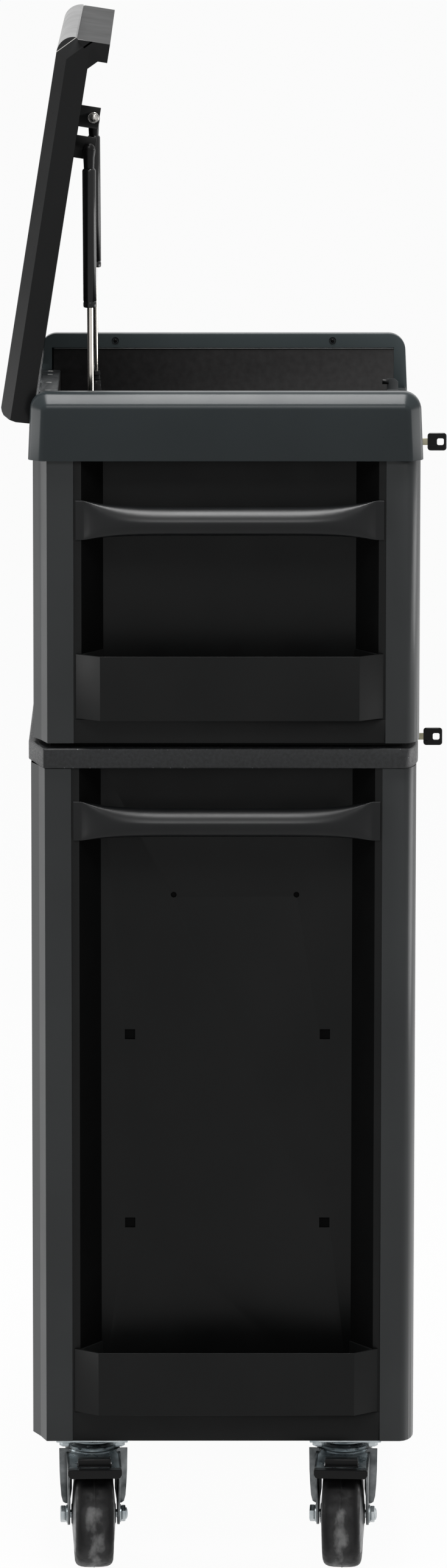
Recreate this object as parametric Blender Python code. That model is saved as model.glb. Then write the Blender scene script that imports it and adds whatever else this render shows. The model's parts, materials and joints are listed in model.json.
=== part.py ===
"""Rolling tool chest: a top chest with a gas-strut lid, on a drawer cabinet with casters.

The origin lies on the floor, under the middle of the whole object. +X is the right end,
the drawers open towards -Y, and +Z is up. All sizes are in metres and degrees.
The chest is drawn round the middle of its body, and the "tool_chest" empty shifts it.
"""

import math

import bmesh
import bpy
from mathutils import Matrix, Vector

# Fits
GAP = 0.0003  # between faces that touch
PIN_GAP = 0.0005  # round a pin, a shaft or a plug
SLIDE_GAP = 0.0005  # beside a drawer's runner and box
FRONT_GAP = 0.0020  # between drawer fronts, and round them

# Sheet metal
SHEET = 0.0012
INNER_SHEET = 0.0010  # till and drawer boxes
PAN_FLOOR = 0.0020

# Body in plan, the same for the top chest and the cabinet
BODY_LENGTH = 0.687
BODY_DEPTH = 0.459
FRONT_POST_FACE = 0.0472  # width of a front post, seen from the front
FRONT_CORNER_LENGTH = 0.0445
FRONT_CORNER_DEPTH = 0.0175
FRONT_CORNER_STEPS = 5
REAR_FACETS = ((0.0, 0.0170), (0.0220, 0.0090), (0.0470, 0.0))  # from the end, from the back
FRONT_POST_WIDTH = 0.0415
REAR_POST_WIDTH = 0.0485
POST_RETURN = 0.0180
RECESS_DEPTH = 0.042
FRONT_LIP = 0.0086
REAR_LIP = 0.0093
FRONT_SLANT = 0.0259
REAR_SLANT = 0.0253
LIP_LAP = 0.009  # of a recess panel's lip behind the post

# Heights
CASTER_HEIGHT = 0.160
CABINET_HEIGHT = 0.821
WORKTOP_THICKNESS = 0.024
PLINTH_HEIGHT = 0.006
CHEST_HEIGHT = 0.350  # to the top of the front rail
CHEST_FORWARD = 0.0032  # of the cabinet's middle
PAN_WALL = 0.0355
CHEST_PAN_WALL = 0.0285
CABINET_RAIL = 0.036
CHEST_RAIL = 0.049

# Worktop, past the body on each side
WORKTOP_END_OVERHANG = 0.0025
WORKTOP_FRONT_OVERHANG = 0.0025
WORKTOP_REAR_OVERHANG = 0.003
WORKTOP_CORNER_LENGTH = 0.068
WORKTOP_CORNER_DEPTH = 0.018
PLINTH_INSET = 0.020

# End cheeks
CHEEK_HEIGHT = 0.080
CHEEK_SKIRT = 0.013  # below the top of the front rail
CHEEK_WIDTH = 0.033
CHEEK_END_OVERHANG = 0.005
CHEEK_FRONT_OVERHANG = 0.0022
CHEEK_REAR_OVERHANG = 0.0050
CHEEK_DRAFT = 0.0035
CHEEK_WALL = 0.0025
CHEEK_ROUNDING = 0.015
CHEEK_BAND = 0.018
CHEEK_LEG = 0.0140

# Till under the lid
TILL_DEPTH = 0.045  # floor below the top of the front rail
TILL_SIDE_MARGIN = 0.0145  # of the side walls, from the front and the back of the body
TILL_BACK = 0.0225

# Lid, hinged along its rear edge. Its own frame lies at the hinge pin, as if it were closed
HINGE_ABOVE_RAIL = 0.0225
HINGE_BEHIND_BODY = 0.0015
LID_OPEN = 81.0
LID_SIDE_GAP = 0.0005
LID_THICKNESS = 0.0387
LID_FRONT_OVERHANG = 0.003
LID_FRONT_ROUNDING = 0.020
LID_WALL = 0.0015
LID_LIP_WIDTH = 0.0235
LID_END_CHAMFER = 0.013
LID_FLANGE = 0.028
LEAF_WIDTH = 0.024
LEAF_THICKNESS = 0.0009
LEAF_SETBACK = 0.0032
KNUCKLE_RADIUS = 0.0024
HINGE_PIN_RADIUS = 0.0011
KNUCKLE_BORE = 0.0015
KNUCKLES = 13
REAR_FLANGE = 0.0235

# Gas struts, one near each end of the lid
STRUT_INSET = 0.0715  # from the lid's end
STRUT_FOOT_FORWARD = 0.070  # lower pivot from the hinge pin
STRUT_DROP = 0.0165  # both pivots below the pin when the lid is closed
STRUT_REACH = 0.330  # upper pivot from the hinge pin, along the lid
CYLINDER_RADIUS = 0.0080
CYLINDER_LENGTH = 0.165
CYLINDER_BORE = 0.0042
ROD_RADIUS = 0.0036
ROD_INSIDE = 0.025
FITTING_LENGTH = 0.023
SOCKET_RADIUS = 0.0075
SOCKET_WIDTH = 0.0116
STUD_RADIUS = 0.0030
STRUT_PLATE = 0.0025
STRUT_PLATE_WIDTH = 0.027
STRUT_PLATE_GAP = 0.0064  # between a bracket's plate and the socket beside it
FOOT_WIDTH = 0.040
DOME_RADIUS = 0.0060
DOME_HEIGHT = 0.0070

# Handles and pocket trays on the ends
HANDLE_HEIGHT = 0.047
HANDLE_BAR_HEIGHT = 0.033
HANDLE_REACH = 0.026
HANDLE_BAR_THICKNESS = 0.0205
HANDLE_END_GAP = 0.0025
CHEST_HANDLE_DROP = 0.0835  # centre, below the top of the front rail
CABINET_HANDLE_DROP = 0.0635  # centre, below the cabinet's top
POCKET_HEIGHT = 0.077
POCKET_REACH = 0.022
POCKET_CHAMFER = 0.0290
POCKET_END_GAP = 0.0025
POCKET_LIFT = 0.0015
POCKET_SHEET = 0.0015

# Holes in the cabinet's recess panels: height above the cabinet's bottom, then Y
ROUND_HOLES = ((0.661, 0.0596), (0.661, -0.0870))
ROUND_HOLE_RADIUS = 0.0035
SQUARE_HOLES = ((0.491, 0.1120), (0.491, -0.1215), (0.260, 0.1120), (0.260, -0.1215))
SQUARE_HOLE_SIDE = 0.0123

# Drawers, from the top down; the lowest one takes the height that is left
CHEST_DRAWERS = (0.075, 0.075)
CABINET_DRAWERS = (0.110, 0.145, 0.245)
DRAWER_TRAVEL = 0.300
DRAWER_BACK_MARGIN = 0.0435  # from the back of the body
DRAWER_FRONT_DEPTH = 0.0165
DRAWER_FRONT_SHEET = 0.0015
PULL_DEPTH = 0.028  # of the groove that the fingers hook into, below the top
PULL_ENTRY = 0.014  # above the groove's front wall
BOX_LIFT = 0.006
BOX_DROP = 0.020  # of a box's rim below its front's top
RUNNER_HEIGHT = 0.0194
RUNNER_WIDTH = 0.0075
RUNNER_LIFT = 0.030  # centre above the drawer's bottom
CHANNEL_WIDTH = 0.0110
CHANNEL_HEIGHT = 0.034
LINER = 0.0012

# Locks, in the middle of both top rails
LOCK_BELOW_CHEST_RAIL = 0.032
LOCK_BELOW_CABINET_RAIL = 0.017
PLUG_RADIUS = 0.0080
PLUG_REACH = 0.0080
PLUG_BEHIND = 0.0120
KEY_REACH = 0.041
KEY_HEAD = (0.0034, 0.024, 0.022)
KEY_BLADE = (0.0020, 0.012, 0.0070)
KEY_EYE = 0.0060
CAM = (0.0060, 0.0015, 0.0200)

# Lid catch on the front rail, which stands in a slot of the lid's lip when the lid is shut
CATCH_INSET = 0.053  # from the lid's end
CATCH_HEIGHT = 0.0155
CATCH_DEPTH = 0.0140
CATCH_SHEET = 0.0020
CATCH_FOOT = 0.012
CATCH_SETBACK = 0.0110  # from the front of the body
KNOB_RADIUS = 0.0035
KNOB_LENGTH = 0.0060

# Casters
CASTER_END_INSET = 0.0550
CASTER_FRONT_INSET = 0.0825
CASTER_REAR_INSET = 0.0715
WHEEL_RADIUS = 0.065
WHEEL_WIDTH = 0.047
HUB_WIDTH = 0.053
HUB_RADIUS = 0.020
RIM_RADIUS = 0.048
WHEEL_GAP = 0.002  # between the hub and the fork
CASTER_TRAIL = 0.035
CASTER_TOE = (4.0, 2.5)
PLATE_SIZE = (0.100, 0.086, 0.0030)
RACE_RADIUS = 0.031
RACE_HEIGHT = 0.0107
KING_RADIUS = 0.0080
KING_HEAD = (0.0120, 0.0040)
CROWN_THICKNESS = 0.0055
CROWN_RADIUS = 0.034
FORK_SHEET = 0.0030
FORK_BACK = 0.031
FORK_FLARE = 0.10  # of the legs, above the bend
FORK_BEND = 0.020  # above the axle
HOOD = ((-0.044, -0.0010), (-0.080, -0.0120))  # from the swivel axis, below the crown's top
HOOD_SHEET = 0.0020
AXLE_RADIUS = 0.0050
AXLE_BOSS = 0.0130
BOLT_HEAD = (0.0085, 0.0065)
PEDAL_PIN_RADIUS = 0.0028
PEDAL_BAR = (0.0137, 0.065, 0.0102)
PEDAL_PAD = (0.0130, 0.040)
PEDAL_PAD_RISE = 0.0010  # above the crown's top

# Finishes: colour, roughness, metallic
SLATE = ((0.052, 0.060, 0.066), 0.42, 0.0)
BLACK_PAINT = ((0.012, 0.012, 0.013), 0.50, 0.0)
BLACK_PLASTIC = ((0.020, 0.020, 0.021), 0.45, 0.0)
WORKTOP_BLACK = ((0.022, 0.023, 0.026), 0.60, 0.0)
ZINC = ((0.52, 0.56, 0.60), 0.32, 1.0)
STEEL = ((0.62, 0.61, 0.59), 0.28, 1.0)
CHROME = ((0.75, 0.75, 0.76), 0.12, 1.0)
TYRE = ((0.025, 0.025, 0.026), 0.75, 0.0)
SMOOTH_UNDER = math.radians(32)
MERGE = 2e-6

# Places that follow from the sizes
END = BODY_LENGTH / 2
BACK = BODY_DEPTH / 2
OPENING = END - FRONT_POST_FACE
LAP = SHEET + GAP
CABINET_BOTTOM = CASTER_HEIGHT
CABINET_TOP = CABINET_BOTTOM + CABINET_HEIGHT
WORKTOP_TOP = CABINET_TOP + WORKTOP_THICKNESS
CHEST_BOTTOM = WORKTOP_TOP + PLINTH_HEIGHT
RAIL_TOP = CHEST_BOTTOM + CHEST_HEIGHT
HINGE_Z = RAIL_TOP + HINGE_ABOVE_RAIL
HINGE_Y = BACK + HINGE_BEHIND_BODY
CHEEK_BOTTOM = RAIL_TOP - CHEEK_SKIRT
CHEEK_TOP = CHEEK_BOTTOM + CHEEK_HEIGHT
CHEEK_OUTER = END + CHEEK_END_OVERHANG
CHEEK_INNER = CHEEK_OUTER - CHEEK_WIDTH
FRONT_POST_EDGE = -BACK + FRONT_POST_WIDTH
REAR_POST_EDGE = BACK - REAR_POST_WIDTH
FRONT_LIP_EDGE = FRONT_POST_EDGE + FRONT_LIP
REAR_LIP_EDGE = REAR_POST_EDGE - REAR_LIP
PANEL_FRONT = FRONT_LIP_EDGE + FRONT_SLANT
PANEL_REAR = REAR_LIP_EDGE - REAR_SLANT
PANEL_FACE = END - RECESS_DEPTH
LINER_FACE = PANEL_FACE - SHEET - GAP
CHEST_PAN_TOP = CHEST_BOTTOM + CHEST_PAN_WALL
CABINET_PAN_TOP = CABINET_BOTTOM + PAN_WALL
LEDGE_Z = CHEEK_BOTTOM + 2 * GAP
LID_HALF = CHEEK_INNER - LID_SIDE_GAP
STRUT_X = LID_HALF - STRUT_INSET
BRACKET_X = STRUT_X - SOCKET_WIDTH / 2 - STRUT_PLATE_GAP  # the plate's outer face
CATCH_X = LID_HALF - CATCH_INSET
DRAWER_FRONT = OPENING - FRONT_GAP * 0.75
BOX_HALF = LINER_FACE - LINER - CHANNEL_WIDTH + GAP - SLIDE_GAP
BOX_FRONT = -BACK + DRAWER_FRONT_DEPTH
BOX_BACK = BACK - DRAWER_BACK_MARGIN
CASTER_X = END - CASTER_END_INSET
CASTER_Y = (-BACK + CASTER_FRONT_INSET, BACK - CASTER_REAR_INSET)
PLATE_BOTTOM = CASTER_HEIGHT - GAP - PLATE_SIZE[2]
CROWN_TOP = PLATE_BOTTOM - RACE_HEIGHT - PIN_GAP
CROWN_BOTTOM = CROWN_TOP - CROWN_THICKNESS
FORK_HALF = HUB_WIDTH / 2 + WHEEL_GAP  # inner faces of a fork's legs
HOOD_TIP = HOOD[1][0]

TO_X = Matrix.Rotation(math.pi / 2, 4, "Y")
TO_Y = Matrix.Rotation(-math.pi / 2, 4, "X")


# Shapes


def offset(path, distance, closed=False):
    """The path moved to its left by the distance, with mitred corners."""
    moved = []
    for i, point in enumerate(path):
        here = Vector(point)
        sides = []
        if closed or i > 0:
            step = (here - Vector(path[i - 1])).normalized()
            sides.append(Vector((-step.y, step.x)))
        if closed or i < len(path) - 1:
            step = (Vector(path[(i + 1) % len(path)]) - here).normalized()
            sides.append(Vector((-step.y, step.x)))
        middle = sum(sides, Vector((0, 0))).normalized()
        moved.append(tuple(here + middle * distance / middle.dot(sides[0])))
    return moved


def strip(path, thickness):
    """The closed outline of a sheet that is bent along the path and lies to its left."""
    return list(path) + offset(path, thickness)[::-1]


def mirrored(outline):
    return [(-x, y) for x, y in outline][::-1]


def prism(outline, axis, low, high):
    """The outline, given in the two axes across `axis`, drawn out along it."""
    place = {
        "X": lambda a, b: (low, a, b),
        "Y": lambda a, b: (a, low, b),
        "Z": lambda a, b: (a, b, low),
    }[axis]
    shape = bmesh.new()
    face = shape.faces.new([shape.verts.new(place(a, b)) for a, b in outline])
    drawn = bmesh.ops.extrude_face_region(shape, geom=[face], use_keep_orig=True)
    far = [part for part in drawn["geom"] if isinstance(part, bmesh.types.BMVert)]
    step = {"X": (1, 0, 0), "Y": (0, 1, 0), "Z": (0, 0, 1)}[axis]
    bmesh.ops.translate(shape, verts=far, vec=Vector(step) * (high - low))
    bmesh.ops.recalc_face_normals(shape, faces=shape.faces)
    return shape


def block(low, high):
    """A box between two corners."""
    return prism([(low[0], low[1]), (high[0], low[1]), (high[0], high[1]), (low[0], high[1])],
                 "Z", low[2], high[2])


def turned(profile, segments):
    """A profile of (radius, height) spun round Z: a ring, or closed on the axis."""
    shape = bmesh.new()
    corners = [shape.verts.new((radius, 0, height)) for radius, height in profile]
    edges = [shape.edges.new(pair) for pair in zip(corners, corners[1:])]
    if profile[0][0] > 0:
        edges.append(shape.edges.new((corners[-1], corners[0])))
    bmesh.ops.spin(shape, geom=corners + edges, cent=(0, 0, 0), axis=(0, 0, 1),
                   angle=math.tau, steps=segments, use_merge=True)
    bmesh.ops.remove_doubles(shape, verts=shape.verts, dist=MERGE)
    bmesh.ops.recalc_face_normals(shape, faces=shape.faces)
    return shape


def pin(radius, low, high, segments=16):
    """A plain cylinder on Z."""
    return turned([(0, low), (radius, low), (radius, high), (0, high)], segments)


def moved(shape, *matrices):
    for matrix in matrices:
        shape.transform(matrix)
    return shape


def at(x, y, z):
    return Matrix.Translation((x, y, z))


def together(shapes):
    """Several shapes in one, as separate bodies."""
    whole = bmesh.new()
    for shape in shapes:
        mesh = bpy.data.meshes.new("part")
        shape.to_mesh(mesh)
        shape.free()
        whole.from_mesh(mesh)
        bpy.data.meshes.remove(mesh)
    return whole


def mirror_x(shape):
    shape.transform(Matrix.Scale(-1, 4, (1, 0, 0)))
    bmesh.ops.reverse_faces(shape, faces=shape.faces)
    return shape


def on_side(shape, side):
    """A shape drawn for the right end, put on the right (1) or the left (-1)."""
    return shape if side > 0 else mirror_x(shape)


# Objects


def object_of(name, shape, parent, pivot=(0, 0, 0)):
    """An object whose origin lies at the pivot, in the parent's frame."""
    shape.transform(Matrix.Translation(-Vector(pivot)))
    mesh = bpy.data.meshes.new(name)
    shape.to_mesh(mesh)
    shape.free()
    mesh.shade_smooth()
    mesh.set_sharp_from_angle(angle=SMOOTH_UNDER)
    thing = bpy.data.objects.new(name, mesh)
    bpy.context.scene.collection.objects.link(thing)
    thing.parent = parent
    thing.location = pivot
    return thing


def piece(name, shape, finish, parent, pivot=(0, 0, 0)):
    thing = object_of(name, shape, parent, pivot)
    material = bpy.data.materials.new(name)
    material.use_nodes = True
    shader = material.node_tree.nodes["Principled BSDF"]
    colour, roughness, metallic = finish
    shader.inputs["Base Color"].default_value = (*colour, 1)
    shader.inputs["Roughness"].default_value = roughness
    shader.inputs["Metallic"].default_value = metallic
    material.diffuse_color = (*colour, 1)
    thing.data.materials.append(material)
    return thing


def boolean(target, shape, operation):
    """Joins the shape to the target, or cuts it away, with an exact Boolean."""
    count = len(target.modifiers) + 1
    helper = object_of(f"{target.name}_tool_{count}", shape, target.parent)
    helper.hide_render = True
    helper.display_type = "WIRE"
    modifier = target.modifiers.new(f"{operation.lower()} {count}", "BOOLEAN")
    modifier.operation = operation
    modifier.solver = "EXACT"
    modifier.object = helper


def join(target, *shapes):
    for shape in shapes:
        boolean(target, shape, "UNION")


def cut(target, *shapes):
    for shape in shapes:
        boolean(target, shape, "DIFFERENCE")


def pivot_empty(name, parent, location, turn=(0, 0, 0)):
    empty = bpy.data.objects.new(name, None)
    bpy.context.scene.collection.objects.link(empty)
    empty.parent = parent
    empty.location = location
    empty.rotation_euler = turn
    return empty


def settle():
    """Bakes the Booleans into the meshes, so that sharp edges follow the final shapes."""
    bpy.context.view_layer.update()
    depsgraph = bpy.context.evaluated_depsgraph_get()
    pieces = [thing for thing in bpy.data.objects if thing.type == "MESH" and not thing.hide_render]
    for thing in pieces:
        if not thing.modifiers:
            continue
        mesh = bpy.data.meshes.new_from_object(thing.evaluated_get(depsgraph))
        shape = bmesh.new()
        shape.from_mesh(mesh)
        bmesh.ops.remove_doubles(shape, verts=shape.verts, dist=MERGE)
        bmesh.ops.dissolve_degenerate(shape, edges=shape.edges, dist=MERGE)
        shape.to_mesh(mesh)
        shape.free()
        thing.modifiers.clear()
        thing.data = mesh
        mesh.name = thing.name
        mesh.shade_smooth()
        mesh.set_sharp_from_angle(angle=SMOOTH_UNDER)
    for helper in [thing for thing in bpy.data.objects if thing.hide_render]:
        bpy.data.objects.remove(helper, do_unlink=True)


# Body: outlines in plan, drawn for the right end


def front_corner():
    """The rounded front corner, from the front plane round to the end plane."""
    steps = range(FRONT_CORNER_STEPS + 1)
    angles = [math.pi / 2 * i / FRONT_CORNER_STEPS for i in steps]
    return [
        (
            END - FRONT_CORNER_LENGTH * (1 - math.sin(angle)),
            -BACK + FRONT_CORNER_DEPTH * (1 - math.cos(angle)),
        )
        for angle in angles
    ]


def rear_corner():
    """The faceted rear corner, from the end plane round to the back plane."""
    return [(END - inward, BACK - forward) for inward, forward in REAR_FACETS]


def body_outline():
    right = front_corner() + rear_corner()
    return right + mirrored(right)


def recess_y(x, front, clearance=0.0):
    """Where the recess's slanted side wall lies at this X, less a clearance across it."""
    edge, slant = (FRONT_LIP_EDGE, FRONT_SLANT) if front else (REAR_LIP_EDGE, -REAR_SLANT)
    run = RECESS_DEPTH - LAP
    y = edge + slant * (END - LAP - x) / run
    away = clearance * math.hypot(run, slant) / run
    return y + away if front else y - away


def front_post(name, side, bottom, top, pan_top, parent):
    path = [(OPENING, -BACK + POST_RETURN), (OPENING, -BACK)]
    path += front_corner() + [(END, FRONT_POST_EDGE)]
    post = prism(strip(path, SHEET), "Z", bottom, top)
    post = piece(name, on_side(post, side), SLATE, parent)
    # The return flange stands on the base pan's wall.
    notch = block((OPENING - SHEET, -BACK + SHEET + GAP / 3, bottom - SHEET),
                  (OPENING + 2 * SHEET, -BACK + 2 * POST_RETURN, pan_top + GAP))
    cut(post, on_side(notch, side))


def recess_panel(name, side, bottom, top, parent):
    face = END - LAP
    path = [
        (face, FRONT_POST_EDGE - LIP_LAP),
        (face, FRONT_LIP_EDGE),
        (PANEL_FACE, PANEL_FRONT),
        (PANEL_FACE, PANEL_REAR),
        (face, REAR_LIP_EDGE),
        (face, REAR_POST_EDGE + LIP_LAP),
    ]
    panel = prism(strip(path, SHEET), "Z", bottom, top)
    return piece(name, on_side(panel, side), BLACK_PAINT, parent)


def base_pan(name, bottom, wall_top, plinth, parent):
    """A folded tray inside the skins; the chest's one stands on a narrower plinth."""
    outer = offset(body_outline(), LAP, closed=True)
    inner = offset(body_outline(), LAP + SHEET, closed=True)
    pan = piece(name, prism(outer, "Z", bottom, wall_top), BLACK_PAINT, parent)
    if plinth:
        foot = END - PLINTH_INSET
        toe = BACK - PLINTH_INSET
        low = bottom - plinth + GAP
        join(pan, block((-foot, -toe, low), (foot, toe, bottom + PAN_FLOOR / 2)))
        cut(pan, block((-foot + SHEET, -toe + SHEET, low + PAN_FLOOR),
                       (foot - SHEET, toe - SHEET, bottom + PAN_FLOOR + GAP)))
    cut(pan, prism(inner, "Z", bottom + PAN_FLOOR, wall_top + SHEET))


def rail(name, top, height, lock_z, parent):
    """A channel across the top of the front, with the hole for the lock's plug."""
    front = -BACK
    path = [
        (front + POST_RETURN, top - height),
        (front, top - height),
        (front, top),
        (front + POST_RETURN, top),
    ]
    outline = strip(path, -SHEET)
    half = OPENING - GAP
    channel = piece(name, prism(outline, "X", -half, half), SLATE, parent)
    hole = pin(PLUG_RADIUS + PIN_GAP, -BACK - SHEET, -BACK + 2 * SHEET, 24)
    cut(channel, moved(hole, TO_Y, at(0, 0, lock_z)))


def rear_shell(name, bottom, corner_top, wall_top, parent):
    path = [(END, REAR_POST_EDGE)] + rear_corner()
    path += mirrored(path)
    shell = piece(name, prism(strip(path, SHEET), "Z", bottom, wall_top), SLATE, parent)
    if wall_top > corner_top:
        # Between the cheeks the back wall rises to the flange that the hinge lies on.
        for side in (-1, 1):
            past = block((LID_HALF - LID_SIDE_GAP, REAR_POST_EDGE - SHEET, corner_top),
                         (END + SHEET, BACK + SHEET, wall_top + SHEET))
            cut(shell, on_side(past, side))
        half = LID_HALF - LID_SIDE_GAP
        join(shell, block((-half, BACK - REAR_FLANGE, wall_top - SHEET),
                          (half, BACK - SHEET / 2, wall_top)))


def worktop(parent):
    end = END + WORKTOP_END_OVERHANG
    front = -BACK - WORKTOP_FRONT_OVERHANG
    back = BACK + WORKTOP_REAR_OVERHANG
    right = []
    for i in range(FRONT_CORNER_STEPS + 1):
        angle = math.pi / 2 * i / FRONT_CORNER_STEPS
        right.append((end - WORKTOP_CORNER_LENGTH * (1 - math.sin(angle)),
                      front + WORKTOP_CORNER_DEPTH * (1 - math.cos(angle))))
    right += [(end, back - WORKTOP_CORNER_DEPTH), (end - WORKTOP_CORNER_LENGTH, back)]
    slab = prism(right + mirrored(right), "Z", CABINET_TOP, WORKTOP_TOP)
    piece("worktop", slab, WORKTOP_BLACK, parent)


# Ends: cheeks, handles, pocket trays


def rounded_cap(inset, bottom):
    """A cheek's outside, or its hollow with an inset: a box with draft and rounded edges."""
    inner, outer = CHEEK_INNER + inset, CHEEK_OUTER - inset
    front = -BACK - CHEEK_FRONT_OVERHANG + inset
    back = BACK + CHEEK_REAR_OVERHANG - inset
    top = CHEEK_TOP - inset
    rounding = CHEEK_ROUNDING - inset
    shape = block((inner, front, bottom), (outer, back, top))
    for vert in shape.verts:
        if vert.co.z > top - rounding:
            vert.co.y += CHEEK_DRAFT if vert.co.y < 0 else -CHEEK_DRAFT

    def rounds(edge):
        a, b = (vert.co for vert in edge.verts)
        upper = min(a.z, b.z) > bottom + rounding
        if min(a.x, b.x) > inner + rounding / 2:
            return upper or abs(a.z - b.z) > rounding
        return upper and abs(a.x - b.x) > rounding / 2

    edges = [edge for edge in shape.edges if rounds(edge)]
    bmesh.ops.bevel(shape, geom=edges, offset=rounding, segments=3, profile=0.5,
                    affect="EDGES", material=-1, clamp_overlap=True)
    return shape


def cheek(name, side, parent):
    """The raised cap of an end: a moulding, open below, with a band and two legs inside."""
    cap = piece(name, on_side(rounded_cap(0, CHEEK_BOTTOM), side), SLATE, parent)
    hollow = rounded_cap(CHEEK_WALL, CHEEK_BOTTOM - CHEEK_WALL)
    leg = BACK - CHEEK_LEG
    window = block((CHEEK_INNER - CHEEK_WALL, -leg, CHEEK_BOTTOM - CHEEK_WALL),
                   (CHEEK_INNER + 2 * CHEEK_WALL, leg, CHEEK_TOP - CHEEK_BAND))
    under = block((CHEEK_INNER - CHEEK_WALL, -2 * BACK, CHEEK_BOTTOM - CHEEK_WALL),
                  (CHEEK_INNER + 1.2 * CHEEK_WALL, 2 * BACK, RAIL_TOP + GAP))
    cut(cap, *(on_side(shape, side) for shape in (hollow, window, under)))


def handle(name, side, centre_z, parent):
    """A moulded bar between two flared end plates that lie on the recess's lips."""
    front = FRONT_POST_EDGE + HANDLE_END_GAP
    rear = REAR_POST_EDGE - HANDLE_END_GAP
    plate = 2 * (LAP - GAP)
    # Distance from the end, outward reach, thickness and height as shares of the bar's, squareness
    stations = (
        (0.000, 0.0, 0.0, 1.00, 9.0),
        (0.007, 0.0, 0.0, 1.00, 9.0),
        (0.016, 0.22, 0.25, 0.84, 5.0),
        (0.030, 0.50, 0.60, 0.52, 3.2),
        (0.050, 0.76, 0.85, 0.24, 2.6),
        (0.075, 0.92, 1.00, 0.07, 2.4),
        (0.105, 1.00, 1.00, 0.00, 2.4),
    )
    rings = [(front + s[0], *s[1:]) for s in stations]
    rings += [(rear - s[0], *s[1:]) for s in stations[::-1]]
    shape = bmesh.new()
    loops = []
    sides = 16
    for y, reach, swell, flare, square in rings:
        outer = END - LAP + GAP + plate + (HANDLE_REACH - plate + LAP - GAP) * reach
        depth = plate + (HANDLE_BAR_THICKNESS - plate) * swell
        height = HANDLE_BAR_HEIGHT + (HANDLE_HEIGHT - HANDLE_BAR_HEIGHT) * flare
        corners = []
        for i in range(sides):
            angle = math.tau * (i + 0.5) / sides
            across = math.copysign(abs(math.cos(angle)) ** (2 / square), math.cos(angle))
            up = math.copysign(abs(math.sin(angle)) ** (2 / square), math.sin(angle))
            x = outer - depth / 2 + depth / 2 * across
            corners.append(shape.verts.new((x, y, centre_z + height / 2 * up)))
        loops.append([shape.edges.new((corners[i - 1], corners[i])) for i in range(sides)])
    for first, second in zip(loops, loops[1:]):
        bmesh.ops.bridge_loops(shape, edges=first + second)
    bmesh.ops.contextual_create(shape, geom=loops[0])
    bmesh.ops.contextual_create(shape, geom=loops[-1])
    bmesh.ops.recalc_face_normals(shape, faces=shape.faces)
    piece(name, on_side(shape, side), BLACK_PLASTIC, parent)


def pocket(name, side, bottom, parent):
    """A tray that hangs out of the recess, with slanted ends and an open top."""
    front = FRONT_POST_EDGE + POCKET_END_GAP
    rear = REAR_POST_EDGE - POCKET_END_GAP
    out = END + POCKET_REACH
    step = END - LAP + 2 * GAP
    back = PANEL_FACE + 3 * GAP
    low = bottom + POCKET_LIFT

    outline = [
        (out, rear - POCKET_CHAMFER),
        (END, rear),
        (step, rear),
        (step, recess_y(step, False, GAP)),
        (back, recess_y(back, False, GAP)),
        (back, recess_y(back, True, GAP)),
        (step, recess_y(step, True, GAP)),
        (step, front),
        (END, front),
        (out, front + POCKET_CHAMFER),
    ]
    body = prism(outline, "Z", low, low + POCKET_HEIGHT)
    tray = piece(name, on_side(body, side), BLACK_PAINT, parent)
    inside = [
        (out - POCKET_SHEET, rear - POCKET_CHAMFER - POCKET_SHEET / 2),
        (END + POCKET_SHEET, rear - 6 * POCKET_SHEET),
        (back - SHEET, recess_y(back - SHEET, False, GAP + POCKET_SHEET)),
        (back - SHEET, recess_y(back - SHEET, True, GAP + POCKET_SHEET)),
        (END + POCKET_SHEET, front + 6 * POCKET_SHEET),
        (out - POCKET_SHEET, front + POCKET_CHAMFER + POCKET_SHEET / 2),
    ]
    cut(tray, on_side(prism(inside, "Z", low + POCKET_SHEET, low + 2 * POCKET_HEIGHT), side))


# Top chest


def till(parent):
    """The tray under the lid; its side walls rise inside the cheeks."""
    floor = RAIL_TOP - TILL_DEPTH
    wall_top = CHEEK_TOP - CHEEK_BAND - GAP
    wide = CHEEK_INNER + 0.0013
    front = -BACK + POST_RETURN + GAP
    back = BACK - TILL_BACK
    half = [(LINER_FACE, floor), (LINER_FACE, LEDGE_Z), (wide, LEDGE_Z), (wide, wall_top)]
    path = mirrored(half) + half
    reach = BACK - TILL_SIDE_MARGIN
    pan = prism(strip(path, INNER_SHEET), "Y", -reach, reach)
    pan = piece("chest_till_pan", pan, BLACK_PAINT, parent)
    for low, high in ((-BACK, front), (back, BACK)):
        cut(pan, block((-LINER_FACE - GAP, low, floor - SHEET), (LINER_FACE + GAP, high, RAIL_TOP)))
    inner = LINER_FACE - INNER_SHEET / 2
    flange_bottom = HINGE_Z - KNUCKLE_RADIUS - SHEET
    join(pan, block((-inner, front, floor + INNER_SHEET / 2),
                    (inner, front + INNER_SHEET, RAIL_TOP - GAP)))
    join(pan, block((-inner, back - INNER_SHEET, floor + INNER_SHEET / 2),
                    (inner, back, flange_bottom - GAP)))
    foot_y = HINGE_Y - STRUT_FOOT_FORWARD
    foot_z = HINGE_Z - STRUT_DROP
    tip = STRUT_X + SOCKET_WIDTH / 2 - INNER_SHEET
    for side in (-1, 1):
        outline = [(foot_y - FOOT_WIDTH / 2, floor + INNER_SHEET / 2)]
        outline += [(foot_y + FOOT_WIDTH / 2, floor + INNER_SHEET / 2)]
        for i in range(7):
            angle = math.pi * i / 6
            outline.append((foot_y + SOCKET_RADIUS * math.cos(angle),
                            foot_z + SOCKET_RADIUS * math.sin(angle)))
        join(pan, on_side(prism(outline, "X", BRACKET_X - STRUT_PLATE, BRACKET_X), side))
        stud = pin(STUD_RADIUS, BRACKET_X - STRUT_PLATE / 2, tip)
        join(pan, on_side(moved(stud, TO_X, at(0, foot_y, foot_z)), side))


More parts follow.
